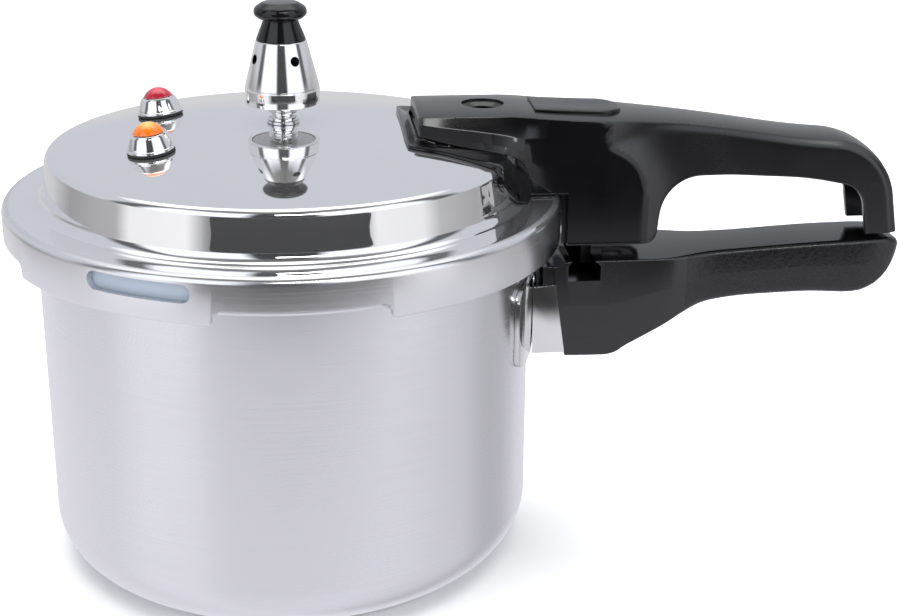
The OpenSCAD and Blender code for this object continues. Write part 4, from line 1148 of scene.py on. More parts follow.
@dataclass
class Lid:
    """The spun lid with its crown, flange and skirt, the seal ring and the vent."""

    shop: Shop
    levels: Levels
    sheet: float = 2.2
    dome_r: float = DOME_R
    crease: float = 3.0
    fillet: float = LID_FILLET
    roll: float = 2.7
    gaps: tuple[float, ...] = (-87.5, -168.5, 92.5, 11.5)
    gap_deg: float = 33.0
    step: float = 5.5
    window: tuple[float, float, float] = (-118.5, 39.5, 6.6)

    def outline(self) -> list[Point]:
        """The closed outline of the lid sheet, down to the foot of the skirt."""
        lv, t = self.levels, self.sheet
        zc, big = lv.crown - lv.crown_radius, lv.crown_radius
        crease_x = self.dome_r - self.crease
        a_out = math.degrees(math.acos(crease_x / big))
        crease_z = lv.crown_at(crease_x) - self.crease
        roll_x = lv.skirt_radius - self.roll
        fz, foot_x = lv.flange, self.dome_r + DOME_FLARE + self.fillet
        lip = soften([
            (lv.skirt_radius, fz - 8, 0), (lv.skirt_radius, lv.hook, 0.8),
            (lv.skirt_radius - t, lv.hook, 0.6),
            (lv.skirt_radius - t, fz - 8, 0),
        ], steps=4, closed=False)
        outer = [(0, lv.crown)] + arc(0, zc, big, 89.8, a_out + 0.05, 60)
        outer += arc(crease_x, crease_z, self.crease, a_out, 0, 14)
        outer += [(self.dome_r + 0.37, crease_z - 4.0), (self.dome_r + 0.75, fz + self.fillet + 3.5)]
        outer += arc(foot_x, fz + self.fillet, self.fillet, 180, 270, 12)
        outer += [(foot_x + 3.0, fz + 0.02), (roll_x - 1.0, fz + 0.02)]
        outer += arc(roll_x, fz - self.roll, self.roll, 90, 0, 12)
        inner = arc(roll_x, fz - self.roll, self.roll - t, 0, 90, 4)
        inner += arc(foot_x, fz + self.fillet, self.fillet + t, 270, 180, 8)
        inner += arc(crease_x, crease_z, self.crease - t, 0, 75, 4)
        inner += arc(0, zc, big - t, math.degrees(math.acos((crease_x - 0.5) / (big - t))), 89.8, 30)
        inner += [(0, lv.crown - t)]
        return outer + lip[1:-1] + inner

    def gap_tool(self, centre: float) -> bpy.types.Object:
        """The tool that steps the skirt up between two hooks, with rounded corners."""
        lv = self.levels
        half, top = self.gap_deg / 2, lv.hook + self.step
        deg = 180 / math.pi / lv.skirt_radius
        low = lv.hook - 2
        left = [(-half - 1.3 * deg, low), (-half - 1.3 * deg, lv.hook)] + [
            (-half + (-1.3 + 1.3 * math.sin(math.radians(a))) * deg,
             lv.hook + 1.3 * (1 - math.cos(math.radians(a))))
            for a in (30, 60, 90)
        ] + [
            (-half + 3.2 * (1 - math.cos(math.radians(a))) * deg,
             top - 3.2 + 3.2 * math.sin(math.radians(a)))
            for a in (0, 18, 36, 54, 72, 90)
        ]
        middle = [(a, top) for a in np.linspace(-half + 4 * deg, half - 4 * deg, 26)]
        right = [(-a, z) for a, z in reversed(left)]
        floor = [(a, low) for a in np.linspace(half, -half, 24)]
        return bent_prism("gap", [(centre + a, z) for a, z in left + middle + right + floor], 99.5, 108)

    def window_tool(self) -> bpy.types.Object:
        """The tool that pierces the long safety window."""
        centre, length, height = self.window
        deg = 180 / math.pi / self.levels.skirt_radius
        r = height / 2
        mid = self.levels.flange - 2.9 - r
        half = length / 2 - r
        right = [(half + r * math.cos(math.radians(a)), mid + r * math.sin(math.radians(a)))
                 for a in range(-90, 91, 12)]
        left = [(-half + r * math.cos(math.radians(a)), mid + r * math.sin(math.radians(a)))
                for a in range(90, 271, 12)]
        run = [(x, mid + r) for x in np.linspace(half - 2, -half + 2, 14)]
        back = [(x, mid - r) for x in np.linspace(-half + 2, half - 2, 14)]
        return bent_prism("window", [(centre + x * deg, z) for x, z in right + run + left + back], 100.5,
                          108)

    def shell(self) -> None:
        """Spins the lid, steps and pierces its skirt, and adds the hooks under the lugs."""
        lv = self.levels
        obj = self.shop.turn("lid_spun", self.outline(), LID_MIRROR, segments=400, closed=False)
        carve(obj, [self.gap_tool(g) for g in self.gaps] + [self.window_tool()], 30)
        hooks = []
        for gap in self.gaps:
            a0 = gap + 36 - 13
            section = soften([
                (98.0, lv.hook, 0.4), (lv.skirt_radius - self.sheet + 0.3, lv.hook, 0),
                (lv.skirt_radius - self.sheet + 0.3, lv.hook + 2.1, 0), (98.0, lv.hook + 2.1, 0.4),
            ], steps=3)
            hooks.append(lofted("hook", [
                np.array([(r * math.cos(math.radians(a0 + k)), r * math.sin(math.radians(a0 + k)), z) for r,
                          z in section])
                for k in range(27)
            ]))
        joined(obj, hooks)
        inner_r = lv.skirt_radius - self.sheet / 2

        def zone(c: Vector, n: Vector) -> int:
            r = math.hypot(c.x, c.y)
            if c.z < lv.flange - 1.2 and r > inner_r:
                return 1
            inside = n.z < -0.2 or (c.z < lv.flange and r < inner_r)
            return 2 if inside else 0

        paint(obj, (LID_MIRROR, LID_BRUSHED, POT_INSIDE), zone)
        hand_over(obj, "lid", "lid_aluminium", "lid_shell")

    def gasket(self) -> None:
        """The moulded ring that seals the lid on the rim."""
        rim = self.levels.rim
        top, out = self.levels.flange - self.sheet - 0.2, self.levels.skirt_radius - self.sheet - 0.2
        outline = soften([
            (94, rim + 0.2, 0.4), (out, rim + 0.2, 0.5), (out, top, 1.0), (94.5, top, 0.5),
            (94.5, top - 2.2, 0.6),
            (out - 2.6, top - 2.2, 0.9), (out - 2.6, rim + 2.2, 0.9), (94, rim + 1.2, 0.4),
        ], steps=4)
        obj = self.shop.turn("seal_ring", outline, GASKET_SILICONE, 240)
        hand_over(obj, "lid", "gasket_silicone", "lid_gasket")

    def vent(self) -> None:
        """The turned vent pipe with its two grooves, on its washer."""
        z0 = self.levels.crown + 0.1
        tip = z0 + 6 + 1.3 + 5.6
        outline = soften([
            (1.4, z0 - 14.1, 0), (3.9, z0 - 14.1, 0.3), (3.9, z0 + 1, 0), (5.5, z0 + 1, 0.25),
            (5.5, z0 + 2.4, 0.3),
            (4.5, z0 + 2.8, 0.15), (4.5, z0 + 3.5, 0.15), (5.5, z0 + 3.8, 0.3), (5.5, z0 + 4.6, 0.25),
            (4.9, z0 + 4.85, 0.1),
            (4.9, z0 + 5.2, 0.1), (5.5, z0 + 5.4, 0.2), (5.5, z0 + 6, 0.35), (3.0, z0 + 6, 0.3),
            (3.0, tip - 1.2, 0.3),
            (1.8, tip, 0.2), (1.4, tip, 0),
        ], steps=3)
        hand_over(self.shop.turn("vent_pipe_turned", outline, CHROME, 96), "lid", "vent_steel", "vent_pipe")
        dress_nodes(TURNED_STEEL, "vent_seal", "vent_filter")
        dress_nodes(SCREW_STEEL, "vent_nut", "float_nut")
        dress_nodes(TURNED_STEEL, "float_bush")
        dress_nodes(FLOAT_RED, "float_pin")
        dress_nodes(FLOAT_SILICONE, "float_seal")

    def build(self) -> None:
        """Builds the whole sub-assembly."""
        self.shell()
        self.gasket()
        self.vent()


@dataclass
class Weight:
    """The loose vent weight: a chromed shell on a brass core, with a black knob."""

    shop: Shop
    levels: Levels
    foot_r: float = 13.9
    top_r: float = 9.35

    def build(self) -> None:
        """Builds the shell with its four vent holes, and the knob."""
        z0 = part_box("weight_shell")[0].z * 1000
        band, taper = z0 + 6.0, z0 + 23.5
        outline = soften([
            (12.2, z0, 0), (self.foot_r, z0, 0.5), (self.foot_r, band - 0.35, 0.25),
            (self.foot_r - 0.35, band - 0.1, 0.1),
            (self.foot_r - 0.35, band + 0.1, 0.1), (self.foot_r - 0.1, band + 0.4, 0.5),
            (self.top_r, taper, 0.6), (3.2, taper, 0),
            (3.2, taper - 2.4, 0), (6, taper - 4.4, 0), (6, z0 + 13, 0), (8.1, z0 + 13, 0),
            (8.1, z0 + 2.8, 0),
            (12.2, z0 + 2.8, 0),
        ], steps=4)
        shell = self.shop.turn("weight_shell_chromed", outline, CHROME, 192)
        holes = []
        for deg in (26, 116, 206, 296):
            tool = self.shop.turn("hole", [(0, 3), (1.75, 3), (1.75, 20), (0, 20)], CHROME, 40,
                                  closed=False)
            turn = Matrix.Rotation(math.radians(deg - 90), 4, "Z") @ Matrix.Rotation(math.radians(90), 4,
                    "Y")
            tool.data.transform(Matrix.Translation((0, 0, (band + 11.2) * MM)) @ turn)
            holes.append(tool)
        carve(shell, holes, 34)
        # The walls of the four vent holes take the knob's black finish: painted shade inside the holes.
        dark = (band + 11.2)
        paint(shell, (CHROME, KNOB_BLACK), lambda c, n: int(
            abs(c.z - dark) < 2 and 5.5 < math.hypot(c.x, c.y) < 11.4
            and abs(n.x * c.x + n.y * c.y) < 0.5 * math.hypot(c.x, c.y)))
        hand_over(shell, "weight", "weight_chrome", "weight_shell")
        neck = taper + 7.6
        knob = soften([
            (0, taper - 3.4, 0), (3, taper - 3.4, 0.3), (3, taper + 0.05, 0), (9.25, taper + 0.05, 0.25),
            (6.25, neck, 0.3),
            (8.2, neck + 0.35, 0.3), (9.8, neck + 1.7, 1.6), (9.6, neck + 4.2, 2.2), (6.6, neck + 6.1, 2.5),
            (0, neck + 6.3, 0),
        ], steps=8, closed=False)
        hand_over(self.shop.turn("weight_knob_moulded", knob, KNOB_BLACK, 128, closed=False, sharp_deg=40),
                  "weight", "knob_black", "weight_knob")
        dress_nodes(PLATED_BRASS, "weight_core")


@dataclass
class SafetyValve:
    """One spring safety valve: chromed housing, seal, coloured cap, spring and clip."""

    shop: Shop
    levels: Levels
    colour: str
    deg: float
    cap_finish: Finish
    at: float = 54.2

    def build(self) -> None:
        """Builds the visible pieces and sets them square on the crown."""
        place = self.levels.square_to_crown(self.at, self.deg)
        name = self.colour
        housing = soften([
            (2.2, -8, 0), (3.9, -8, 0.2), (3.9, 1.1, 0), (8.7, 1.1, 0.25), (8.7, 1.95, 0.35),
            (8.35, 2.15, 0.2), (8.15, 2.9, 1.0),
            (6.75, 6.4, 1.2), (6.3, 7.1, 0.45), (5.9, 7.1, 0.2), (5.8, 6.6, 0.2), (4.3, 6.6, 0.2),
            (4.3, 2.5, 0.2), (2.2, 2.5, 0),
        ], steps=5)
        obj = self.shop.turn(f"{name}_valve_housing_chromed", housing, CHROME, 128, sharp_deg=38)
        obj.data.transform(place)
        hand_over(obj, "lid", "weight_chrome", f"{name}_valve_housing")
        seal = self.shop.turn(f"{name}_valve_seal_ring",
                              soften([(4.1, 0.1, 0.2), (8.6, 0.1, 0.4), (8.6, 1.05, 0.4), (4.1, 1.05, 0.2)],
                                     4),
                              SEAL_RUBBER, 96)
        seal.data.transform(place)
        hand_over(seal, "lid", "seal_rubber", f"{name}_valve_seal")
        rise, r = 3.6, 5.65
        ball = (r * r + rise * rise) / (2 * rise)
        half = math.degrees(math.asin(r / ball))
        seat = 7.2
        cap = [(0, -17.4), (1.4, -17.4), (1.4, seat), (r - 0.25, seat), (r, seat + 0.2)]
        cap += arc(0, seat + rise - ball, ball, 90 - half + 2.5, 90, 18)
        dome = self.shop.turn(f"{name}_valve_cap_domed", cap, self.cap_finish, 96, closed=False,
                              sharp_deg=45)
        # Painted highlight: a weight of 1 on the dome's axis that falls off outwards, which turns the cap's
        # colour to its core colour.
        glow = dome.data.attributes.new("glow", "FLOAT", "POINT")
        glow.data.foreach_set("value", [
            math.exp(-((math.hypot(v.co.x, v.co.y) * 1000 / 2.6) ** 2)) if v.co.z * 1000 > seat else 0.0
            for v in dome.data.vertices
        ])
        dome.data.transform(place)
        hand_over(dome, f"{name}_valve", f"{name}_cap", f"{name}_valve_cap")
        foot = place @ Matrix.Translation((0, 0, -15.4 * MM))
        coil = self.shop.wind(f"{name}_valve_coil", 2.7, 0.38, 6.8, 5, foot)
        hand_over(coil, "lid", "spring_steel", f"{name}_valve_spring")
        compress(coil)
        dress_nodes(SCREW_STEEL, f"{name}_valve_nut")
        dress_nodes(SPRING_STEEL, f"{name}_valve_clip")


# ---------------------------------------------------------------- lid handle


@dataclass
class LidHandle:
    """The hollow lid handle, its flared saddle, thumb slider and fastenings."""

    shop: Shop
    levels: Levels
    wall: float = 2.6
    rows: int = 48
    crown_rise: float = 0.7
    slide_x: float = 109.5
    slide_slope: float = 4.7
    slider_sink: float = 1.75
    rod_sink: float = 2.65
    top: Track = field(init=False)
    crease: Track = field(init=False)
    flare: Track = field(init=False)
    under: Track = field(init=False)

    def __post_init__(self) -> None:
        """Sets the curves of the moulding from the levels."""
        g, f = self.levels.grip_top, self.levels.flange
        self.top = Track((49, g + 0.3), (82, g + 0.2), (100, g - 1.2), (120, g - 2.3), (140, g - 3.8),
                         (155, g - 5.5), (172, g - 7.9),
                         (187, g - 10.2), (196, g - 11.4), (208.9, g - 12.7))
        self.crease = Track((49, 17.7), (82, 18.1), (100, 18.6), (114, 18.6), (120, 18.0), (126, 16.4),
                            (133, 14.9), (142, 13.7),
                            (155, 12.7), (170, 12.2), (208, 11.4), (240, 10.9))
        self.flare = Track(
            (49, 19.05, f + 27.8, 20.9, f + 25.8, 22.5, f + 24.0),
            (62, 19.55, f + 26.1, 22.0, f + 23.3, 24.2, f + 20.9),
            (72, 20.1, f + 24.9, 22.7, f + 21.7, 24.7, f + 19.0),
            (80, 20.4, f + 23.85, 22.9, f + 20.2, 24.5, f + 17.3),
            (85, 20.4, f + 23.0, 22.2, f + 19.0, 23.0, f + 15.4),
            (88.5, 20.3, f + 22.5, 20.9, f + 17.3, 20.8, f + 11.6),
            (90.2, 20.1, f + 22.2, 20.1, f + 14.8, 19.4, f + 7.3),
            (91, 20.0, f + 22.1, 19.8, f + 12.8, 18.85, f + 0.4),
            (96, 19.3, f + 21.4, 19.1, f + 10.8, 18.8, f + 0.4),
            (104, 18.8, f + 20.6, 18.8, f + 9.8, 18.8, f + 0.4),
        )
        self.under = Track((105.3, f - 19.9), (137, f - 19.9), (138.8, f - 18.8), (140, f - 16.4),
                           (140.5, f - 11.1),
                           (141.2, f - 6.9), (142.6, f - 3.3), (145.2, f + 0.2), (148.5, f + 2.7),
                           (152.5, f + 4.4),
                           (156.5, f + 5.0), (165.4, f + 5.0), (180.4, f + 4.2), (196.4, f + 3.1),
                           (204, f + 2.0))

    def side(self, x: float, z: float) -> float:
        """Half width of the side at a place, with the relief that runs in to the slimmer grip."""
        cx, cz, r = 114.5, self.levels.flange - 1.6, 19.2
        out = math.hypot(x - cx, z - cz) - r if z > cz else x - (cx + r)
        slant = x - (116.4 + (z - (self.levels.flange + 17.9)) * 0.448)
        blend = max(6 - abs(out - slant), 0) / 6
        d = min(out, slant) - blend * blend * 1.5
        sharp = 0.9
        lead = 0.5 * (d + math.sqrt(d * d + sharp * sharp))
        return 18.8 - 6.1 * (1 - math.exp(-max(lead - 0.15, 0) / 12.5))

    def section(self, t: Point, b: Point, crease: float, sides: Sequence[Point], inset: float,
                hollow: bool) -> np.ndarray:
        """One closed section of the upturned channel.

        Args:
            t, b: (x, z) of the top skin and of the foot of the walls.
            crease: half width at the top crease.
            sides: (half width, depth) points down the wall.
            inset: how far the outside is drawn in, for rounded ends.
            hollow: False where the channel is filled.

        Returns:
            The points of the section, in mm.
        """
        depth = math.hypot(b[0] - t[0], b[1] - t[1])
        foot_y = sides[-1][0] - inset
        w = self.wall
        rise = self.crown_rise
        corners: list[Corner] = [(0, inset - rise, 0), (crease * 0.3, inset - rise * 0.9, 0),
                                 (crease * 0.6, inset - rise * 0.6, 0),
                                 (crease - inset, 0.3 + inset, 1.0)]
        corners += [(y - inset, d, 0) for y, d in sides[1:-1]]
        corners += [(foot_y + 0.25, depth - 1.3, 0.3), (foot_y + 0.25, depth, 0.5),
                    (foot_y - w, depth, 0.3)]
        if hollow:
            count = 8
            picks = [sides[int(round(i * (len(sides) - 2) / (count - 1)))] for i in range(count, 0, -1)
                     if i < count]
            corners += [(max(y - w, 1.0), min(max(d, w + 0.6), depth - 0.2), 0) for y, d in picks]
            corners += [(crease - w, w, 1.0), (0, w, 0)]
        else:
            corners += [((foot_y - w) * (1 - k / 9), depth, 0) for k in range(1, 8)]
            corners += [((foot_y - w) * 0.1, depth, 1.0), (0, depth, 0)]
        ring = soften([(y, d, r) for y, d, r in corners] , steps=4, closed=False)
        dx, dz = (b[0] - t[0]) / depth, (b[1] - t[1]) / depth
        near = [(t[0] + dx * d, -y, t[1] + dz * d) for y, d in ring]
        far = [(x, -y, z) for x, y, z in reversed(near[1:-1])]
        return np.array(near + far)

    def front_row(self, x: float, inset: float = 0.0, hollow: bool = True) -> np.ndarray:
        """A section in front of the block, where the side flares out to the saddle."""
        fy, fz, my, mz, py, pz = self.flare(x)
        zt = self.top(x)[0]
        c = self.crease(x)[0]
        keys = [(c, zt - 0.3), (fy, fz), (my, mz), (py, pz)]
        sides = []
        for i in range(self.rows):
            s = 3 * i / (self.rows - 1)
            k = min(int(s), 2)
            (ya, za), (yb, zb) = keys[k], keys[k + 1]
            sides.append((ya + (yb - ya) * (s - k), zt - (za + (zb - za) * (s - k))))
        return self.section((x, zt), (x, pz), c, sides, inset, hollow)

    def grip_row(self, t: Point, b: Point, extra: float = 0.0) -> np.ndarray:
        """A section of the block and the grip."""
        depth = math.hypot(b[0] - t[0], b[1] - t[1])
        dx, dz = (b[0] - t[0]) / depth, (b[1] - t[1]) / depth
        c = min(self.crease(t[0] + extra)[0], self.side(t[0], t[1] - 0.3))
        sides = []
        for i in range(self.rows):
            d = 0.3 + (depth - 0.3) * i / (self.rows - 1)
            y = self.side(t[0] + dx * d, t[1] + dz * d)
            ease = math.exp(-((d / 2.2) ** 2))
            sides.append((y * (1 - ease) + c * ease, d))
        return self.section(t, b, c, sides, 0.0, True)

    def cover(self) -> None:
        """Lofts the channel from its front to the foot of the leg and drills the indicator hole."""
        rows = [self.front_row(49.0, 1.1, False), self.front_row(49.25, 0.5, False),
                self.front_row(49.8, 0.12, False),
                self.front_row(50.6, 0, False), self.front_row(51.6, 0, False), self.front_row(51.62)]
        rows += [self.front_row(x)
                 for x in list(np.arange(53, 88, 1.5))
                 + [88.2, 89, 89.8, 90.4, 90.8, 91, 92.5, 94.5, 97, 100, 103]]
        f = self.levels.flange
        rows.append(self.grip_row((105.15, self.top(105.15)[0]), (105.15, f + 0.4)))
        xs = [105.25, 106, 107] + list(np.arange(108, 137, 1.0)) + [137.6, 138.3, 138.9, 139.4, 139.8,
                140.1, 140.4, 140.6, 140.9,
              141.3, 141.8, 142.5, 143.3, 144.3,
              145.5] + list(np.arange(147, 165, 1.0)) + list(np.arange(166, 204.1, 2.0))
        rows += [self.grip_row((x, self.top(x)[0]), (x, self.under(x)[0])) for x in xs]
        cx, cz = 207.0, self.levels.grip_top - 39.9
        lx, lz = 210.9, f - 10.6
        for i in range(19):
            s = i / 18
            a, b = math.radians(86 - 74 * s), math.radians(78 - 76 * s)
            rows.append(self.grip_row((cx + 27.3 * math.cos(a), cz + 27.3 * math.sin(a)),
                                      (lx + 11 * math.cos(b), lz + 11 * math.sin(b)), 8 * s))
        for s in (0.25, 0.5, 0.75, 0.95, 1.0):
            end = 0.12 if s == 1.0 else 0.0
            rows.append(self.grip_row((233.7 + (236.5 - 233.7) * s,
                                       cz + 5.7 + (f - 20 - cz - 5.7) * s + end),
                                      (221.9 + (223.6 - 221.9) * s,
                                       lz + 0.4 + (f - 20 - lz - 0.4) * s + end), 14))
        obj = lofted("lid_handle_moulding", rows, 26)
        g = self.levels.grip_top
        bore = self.shop.turn("bore",
                              [(0, g - 12), (5.5, g - 12), (5.5, g - 1.5), (7.9, g - 0.2), (8.2, g + 3),
                               (0, g + 3)],
                              HANDLE_SATIN, 96, closed=False)
        bore.data.transform(Matrix.Translation((74.6 * MM, 0, 0)))
        slot = lofted("slot",
                      [np.array([(x, y, z) for x,
                                 y in ((99.2, -4.4), (113, -4.4), (113, 4.4), (99.2, 4.4))])
                                 for z in (g - 9, g + 3)])
        carve(obj, [bore, slot], 26)
        paint(obj, (HANDLE_GLOSS, HANDLE_SATIN), self.zone)
        hand_over(obj, "lid", "handle_black", "handle_cover")

    def zone(self, centre: Vector, normal: Vector) -> int:
        """Satin on the top and the grip, gloss on the block's flat sides."""
        return 0 if abs(normal.y) > 0.8 and abs(centre.y) > 18.0 and centre.x < 136 else 1

    def seat(self, r: float) -> tuple[float, float, float]:
        """Height of the lid's outside at a radius, and the way that it faces there (outward, up)."""
        lv, edge = self.levels, DOME_R - CREASE_R
        if r <= edge:
            return lv.crown_at(r), 0.0, 1.0
        return lv.crown_at(edge) - 3 + math.sqrt(max(9 - (r - edge) ** 2, 0.0)), (r
                - edge) / 3, math.sqrt(max(1 - ((r - edge) / 3) ** 2, 0.0))

    def clear(self, point: np.ndarray, gap: float) -> np.ndarray:
        """Moves a point of the saddle out of the lid.

        Args:
            point: the place, in mm.
            gap: the least distance to the lid's outside.

        Returns:
            The place, or the nearest one that keeps the gap.
        """
        f, edge, roll = self.levels.flange, DOME_R - CREASE_R, CREASE_R
        r, z = math.hypot(point[0], point[1]), float(point[2])
        middle = self.levels.crown_at(edge) - roll
        out = r
        if r < edge:
            z = max(z, self.levels.crown_at(r) + gap)
        elif z > middle:
            far = math.hypot(r - edge, z - middle)
            if far < roll + gap:
                grow = (roll + gap) / max(far, 1e-6)
                out, z = edge + (r - edge) * grow, middle + (z - middle) * grow
        else:
            foot = f + LID_FILLET
            wall = DOME_R + DOME_FLARE * min(max((middle - z) / (middle - foot), 0.0), 1.0)
            out = max(r, wall + gap)
        scale = out / max(r, 1e-6)
        return np.array([point[0] * scale, point[1] * scale, z])

    def saddle(self) -> None:
        """The skirt that wraps the crown and the dome's edge, with the core that closes the block."""
        f = self.levels.flange
        upper = [
            (91.0, 18.8, f + 0.5), (90.7, 19.2, f + 5.4), (89.6, 20.2, f + 9.6), (87.6, 21.3, f + 12.8),
            (84.4, 23.0, f + 15.6),
            (80.5, 24.3, f + 17.1), (76.5, 24.7, f + 17.9), (70.0, 24.7, f + 19.3), (62.0, 24.2, f + 20.8),
            (55.0, 23.3, f + 22.5),
            (50.8, 22.4, f + 23.7), (48.8, 20.6, f + 24.0), (48.0, 15.0, f + 24.1), (47.9, 0.0, f + 24.2),
        ]
        turns = [13.2, 17.2, 20.6, 25.2, 29.8, 31.9, 31.4, 31.0, 30.9, 31.6, 33.8, 34.0, 22.5, 0.0]
        reach = [(93.4, 0.0, 0, 1), (92.9, 0.0, 0, 1), (90.2, 1.2, 0.7, 0.7), (88.5, 5.2, 1, 0.1),
                 (88.2, 9.6, 1, 0.1),
                 (87.9, 12.9, 1, 0.15)]
        lips = [0.9, 1.0, 1.3, 1.6, 2.0, 2.4, 2.6, 1.9, 1.3, 1.2, 1.2, 1.2, 1.2, 1.2]
        lower: list[tuple[float, ...]] = []
        for i, (deg, lip) in enumerate(zip(turns, lips)):
            if i < len(reach):
                r, z, out, up = reach[i]
                z += f
            else:
                r = (87.3, 85.4, 74.6, 65.6, 58.3, 53.6, 47.4, 43.9)[i - len(reach)]
                z, out, up = self.seat(r)
            cos, sin = math.cos(math.radians(deg)), math.sin(math.radians(deg))
            lower.append((r * cos, r * sin, z, out * cos, out * sin, up, lip))
        stages = range(len(upper))
        top = Track(*[(i, *p) for i, p in zip(stages, upper)])
        foot = Track(*[(i, *p) for i, p in zip(stages, lower)])
        half: list[np.ndarray] = []
        for u in np.linspace(0, len(upper) - 1, 105):
            t, row = top(u), foot(u)
            p, n, lip = row[:3], row[3:6] / np.linalg.norm(row[3:6]), row[6]
            if math.hypot(p[0], p[1]) < DOME_R - CREASE_R:
                p[2] = self.levels.crown_at(math.hypot(p[0], p[1]))
            edge, seat = p + n * lip, p + n * 0.15
            span = np.linalg.norm(edge - t)
            along = (edge - t) - n * float((edge - t) @ n)
            along = along / max(np.linalg.norm(along), 1e-6)
            first, second = t + np.array([0, 0, -0.25 * span]), edge - along * 0.35 * span + n * 0.04 * span
            skin = [
                t * (1 - v) ** 3 + first * 3 * v * (1 - v) ** 2 + second * 3 * v * v * (1 - v) + edge * v**3
                for v in np.linspace(0, 1, 15)
            ]
            skin = skin[:1] + [self.clear(q, lip * (i + 1) / 14) for i,
                               q in enumerate(skin[1:-1])] + [edge - along * 0.25]
            rim = [edge - n * 0.3 + along * 0.05, seat + n * 0.2, seat - along * 0.2]
            heel = seat - along * min(3.0, 0.5 * span)
            back = t + np.array([-0.5, -1.6, -0.6])
            half.append(np.array(skin + rim + [heel + (back - heel) * v for v in (0, 0.33, 0.66, 1)]))
        near = [h * np.array([1, -1, 1]) for h in half]
        obj = lofted("saddle_skirt", near + list(reversed(half[:-1])), 42)
        joined(obj, [self.core()])
        paint(obj, (HANDLE_GLOSS,), lambda c, n: 0)
        hand_over(obj, "lid", "handle_black", "handle_saddle")

    def core(self) -> bpy.types.Object:
        """The block that closes the handle from below, with the latch slot and the screw holes."""
        f = self.levels.flange
        front = [(x, y) for x, y in arc(0, 0, self.levels.skirt_radius + 0.35, 9.2, -9.2, 16)]
        plan = front + [(112, -16.4)] + soften([(126, -15.7, 2), (136, -12.4, 2), (136, 12.4, 2),
                                                (126, 15.7, 2)], 4) + [(112, 16.4)]
        block = lofted("core", [np.array([(x, y, z) for x, y in plan]) for z in (f - 19.4, f + 12)])
        slot_plan = soften([(103, -5.3, 0), (123.2, -5.3, 1), (123.2, 5.3, 1), (103, 5.3, 0)], 3)
        slot = lofted("slot", [np.array([(x, y, z) for x, y in slot_plan]) for z in (f - 25, f + 20)])
        holes = []
        for s in (-1, 1):
            hole = self.shop.turn("hole",
                                  [(0, f - 30), (4.2, f - 30), (4.2, f - 15.9), (2.3, f - 15.9),
                                   (2.3, f + 6), (0, f + 6)],
                                  HANDLE_SATIN, 48, closed=False)
            hole.data.transform(Matrix.Translation((128 * MM, 8 * s * MM, 0)))
            holes.append(hole)
        return carve(block, [slot, *holes], 30)

    def slider(self) -> None:
        """The thumb slider: thin in front, thick and round at the back."""
        slope = math.radians(self.slide_slope)
        ox, oz = self.slide_x, self.levels.grip_top - self.slider_sink
        rows = []
        for x in [-16.5, -16.2, -15] + list(np.arange(-13, 9, 2.0)) + [9.5, 11, 12.5, 13.8, 15, 15.9, 16.6,
                17.1, 17.4, 17.55]:
            half = 10.4 if x < 9.7 else math.sqrt(max(10.8**2 - (x - 6.8) ** 2, 0.15))
            half = min(half, 10.4)
            high = float(np.interp(x, [-16.5, 5, 14, 17.0, 17.55], [1.15, 1.95, 2.42, 2.25, 1.5]))
            dip = float(np.interp(x, [-16.5, -8, 6, 14], [0.0, 0.1, 0.3, 0.1]))
            edge = min(0.55, half * 0.4)
            ring = soften([(-half, 0.5, 0), (half, 0.5, 0), (half, high, edge),
                           (half * 0.5, high - dip * 0.7, 0), (0, high - dip, 0),
                           (-half * 0.5, high - dip * 0.7, 0), (-half, high, edge)], 4)
            rows.append(np.array([(ox + x * math.cos(slope) + z * math.sin(slope), y,
                                   oz - x * math.sin(slope) + z * math.cos(slope))
                                  for y, z in ring]))
        plate = lofted("thumb_slider", rows, 30)
        stem = [np.array([(ox + x, y, oz + z) for x, y in ((-2.6, -4), (2.6, -4), (2.6, 4), (-2.6, 4))])
                for z in (-4.9, 0.9)]
        joined(plate, [lofted("stem", stem)])
        paint(plate, (SLIDER_SATIN,), lambda c, n: 0)
        hand_over(plate, "lock", "slider_satin", "lock_slider")
        rod = eased_copy("lock_rod", "lock_rod_eased", 0.25)
        paint(rod, (BLACKED_STEEL,), lambda c, n: 0)
        hand_over(rod, "lock", "vent_steel", "lock_rod")

    def fastenings(self) -> None:
        """The bracket, its rivets, the screws and the lock's return spring."""
        f = self.levels.flange
        dress_nodes(BRACKET_STEEL, "lid_bracket")
        dress_nodes(BRASS, "cover_inserts")
        seats = []
        for deg in (-5, 5):
            way = Vector((math.cos(math.radians(deg)), math.sin(math.radians(deg)), 0))
            seats.append((way * 90.8 + Vector((0, 0, f + 8.8)), way))
        outer = self.shop.fasten("bracket_rivet_heads", seats, (2.0, 4.6), (3.4, 1.0), RIVET_ALUMINIUM)
        tails = self.shop.fasten("bracket_rivet_tails", [(p - w * 5.0, -w) for p, w in seats], (2.0, 0.4),
                                 (3.3, 0.9), RIVET_ALUMINIUM)
        hand_over(joined(outer, [tails]), "lid", "rivet_aluminium", "bracket_rivets")
        dress_nodes(SCREW_STEEL, "lid_screws", "cover_screws")
        slope = math.radians(self.slide_slope)
        ox, oz = self.slide_x, self.levels.grip_top - self.rod_sink
        x0, z0 = -19.1, -5.7
        place = Vector((ox + x0 * math.cos(slope) + z0 * math.sin(slope), 0,
                        oz - x0 * math.sin(slope) + z0 * math.cos(slope))) * MM
        foot = Matrix.Translation(place) @ Matrix.Rotation(math.radians(90 + self.slide_slope), 4, "Y")
        coil = self.shop.wind("lock_coil", 2.3, 0.33, 12.4, 7, foot)
        hand_over(coil, "lid", "spring_steel", "lock_spring")
        compress(coil)

    def build(self) -> None:
        """Builds the whole sub-assembly."""
        self.cover()
        self.saddle()
        self.slider()
        self.fastenings()


# ---------------------------------------------------------------- studio


@dataclass(frozen=True)
class Band:
    """One band of the room: what stands round the pot between two heights."""

    starts: float
    blend: float
    tint: Colour
    stops: tuple[Point, ...]


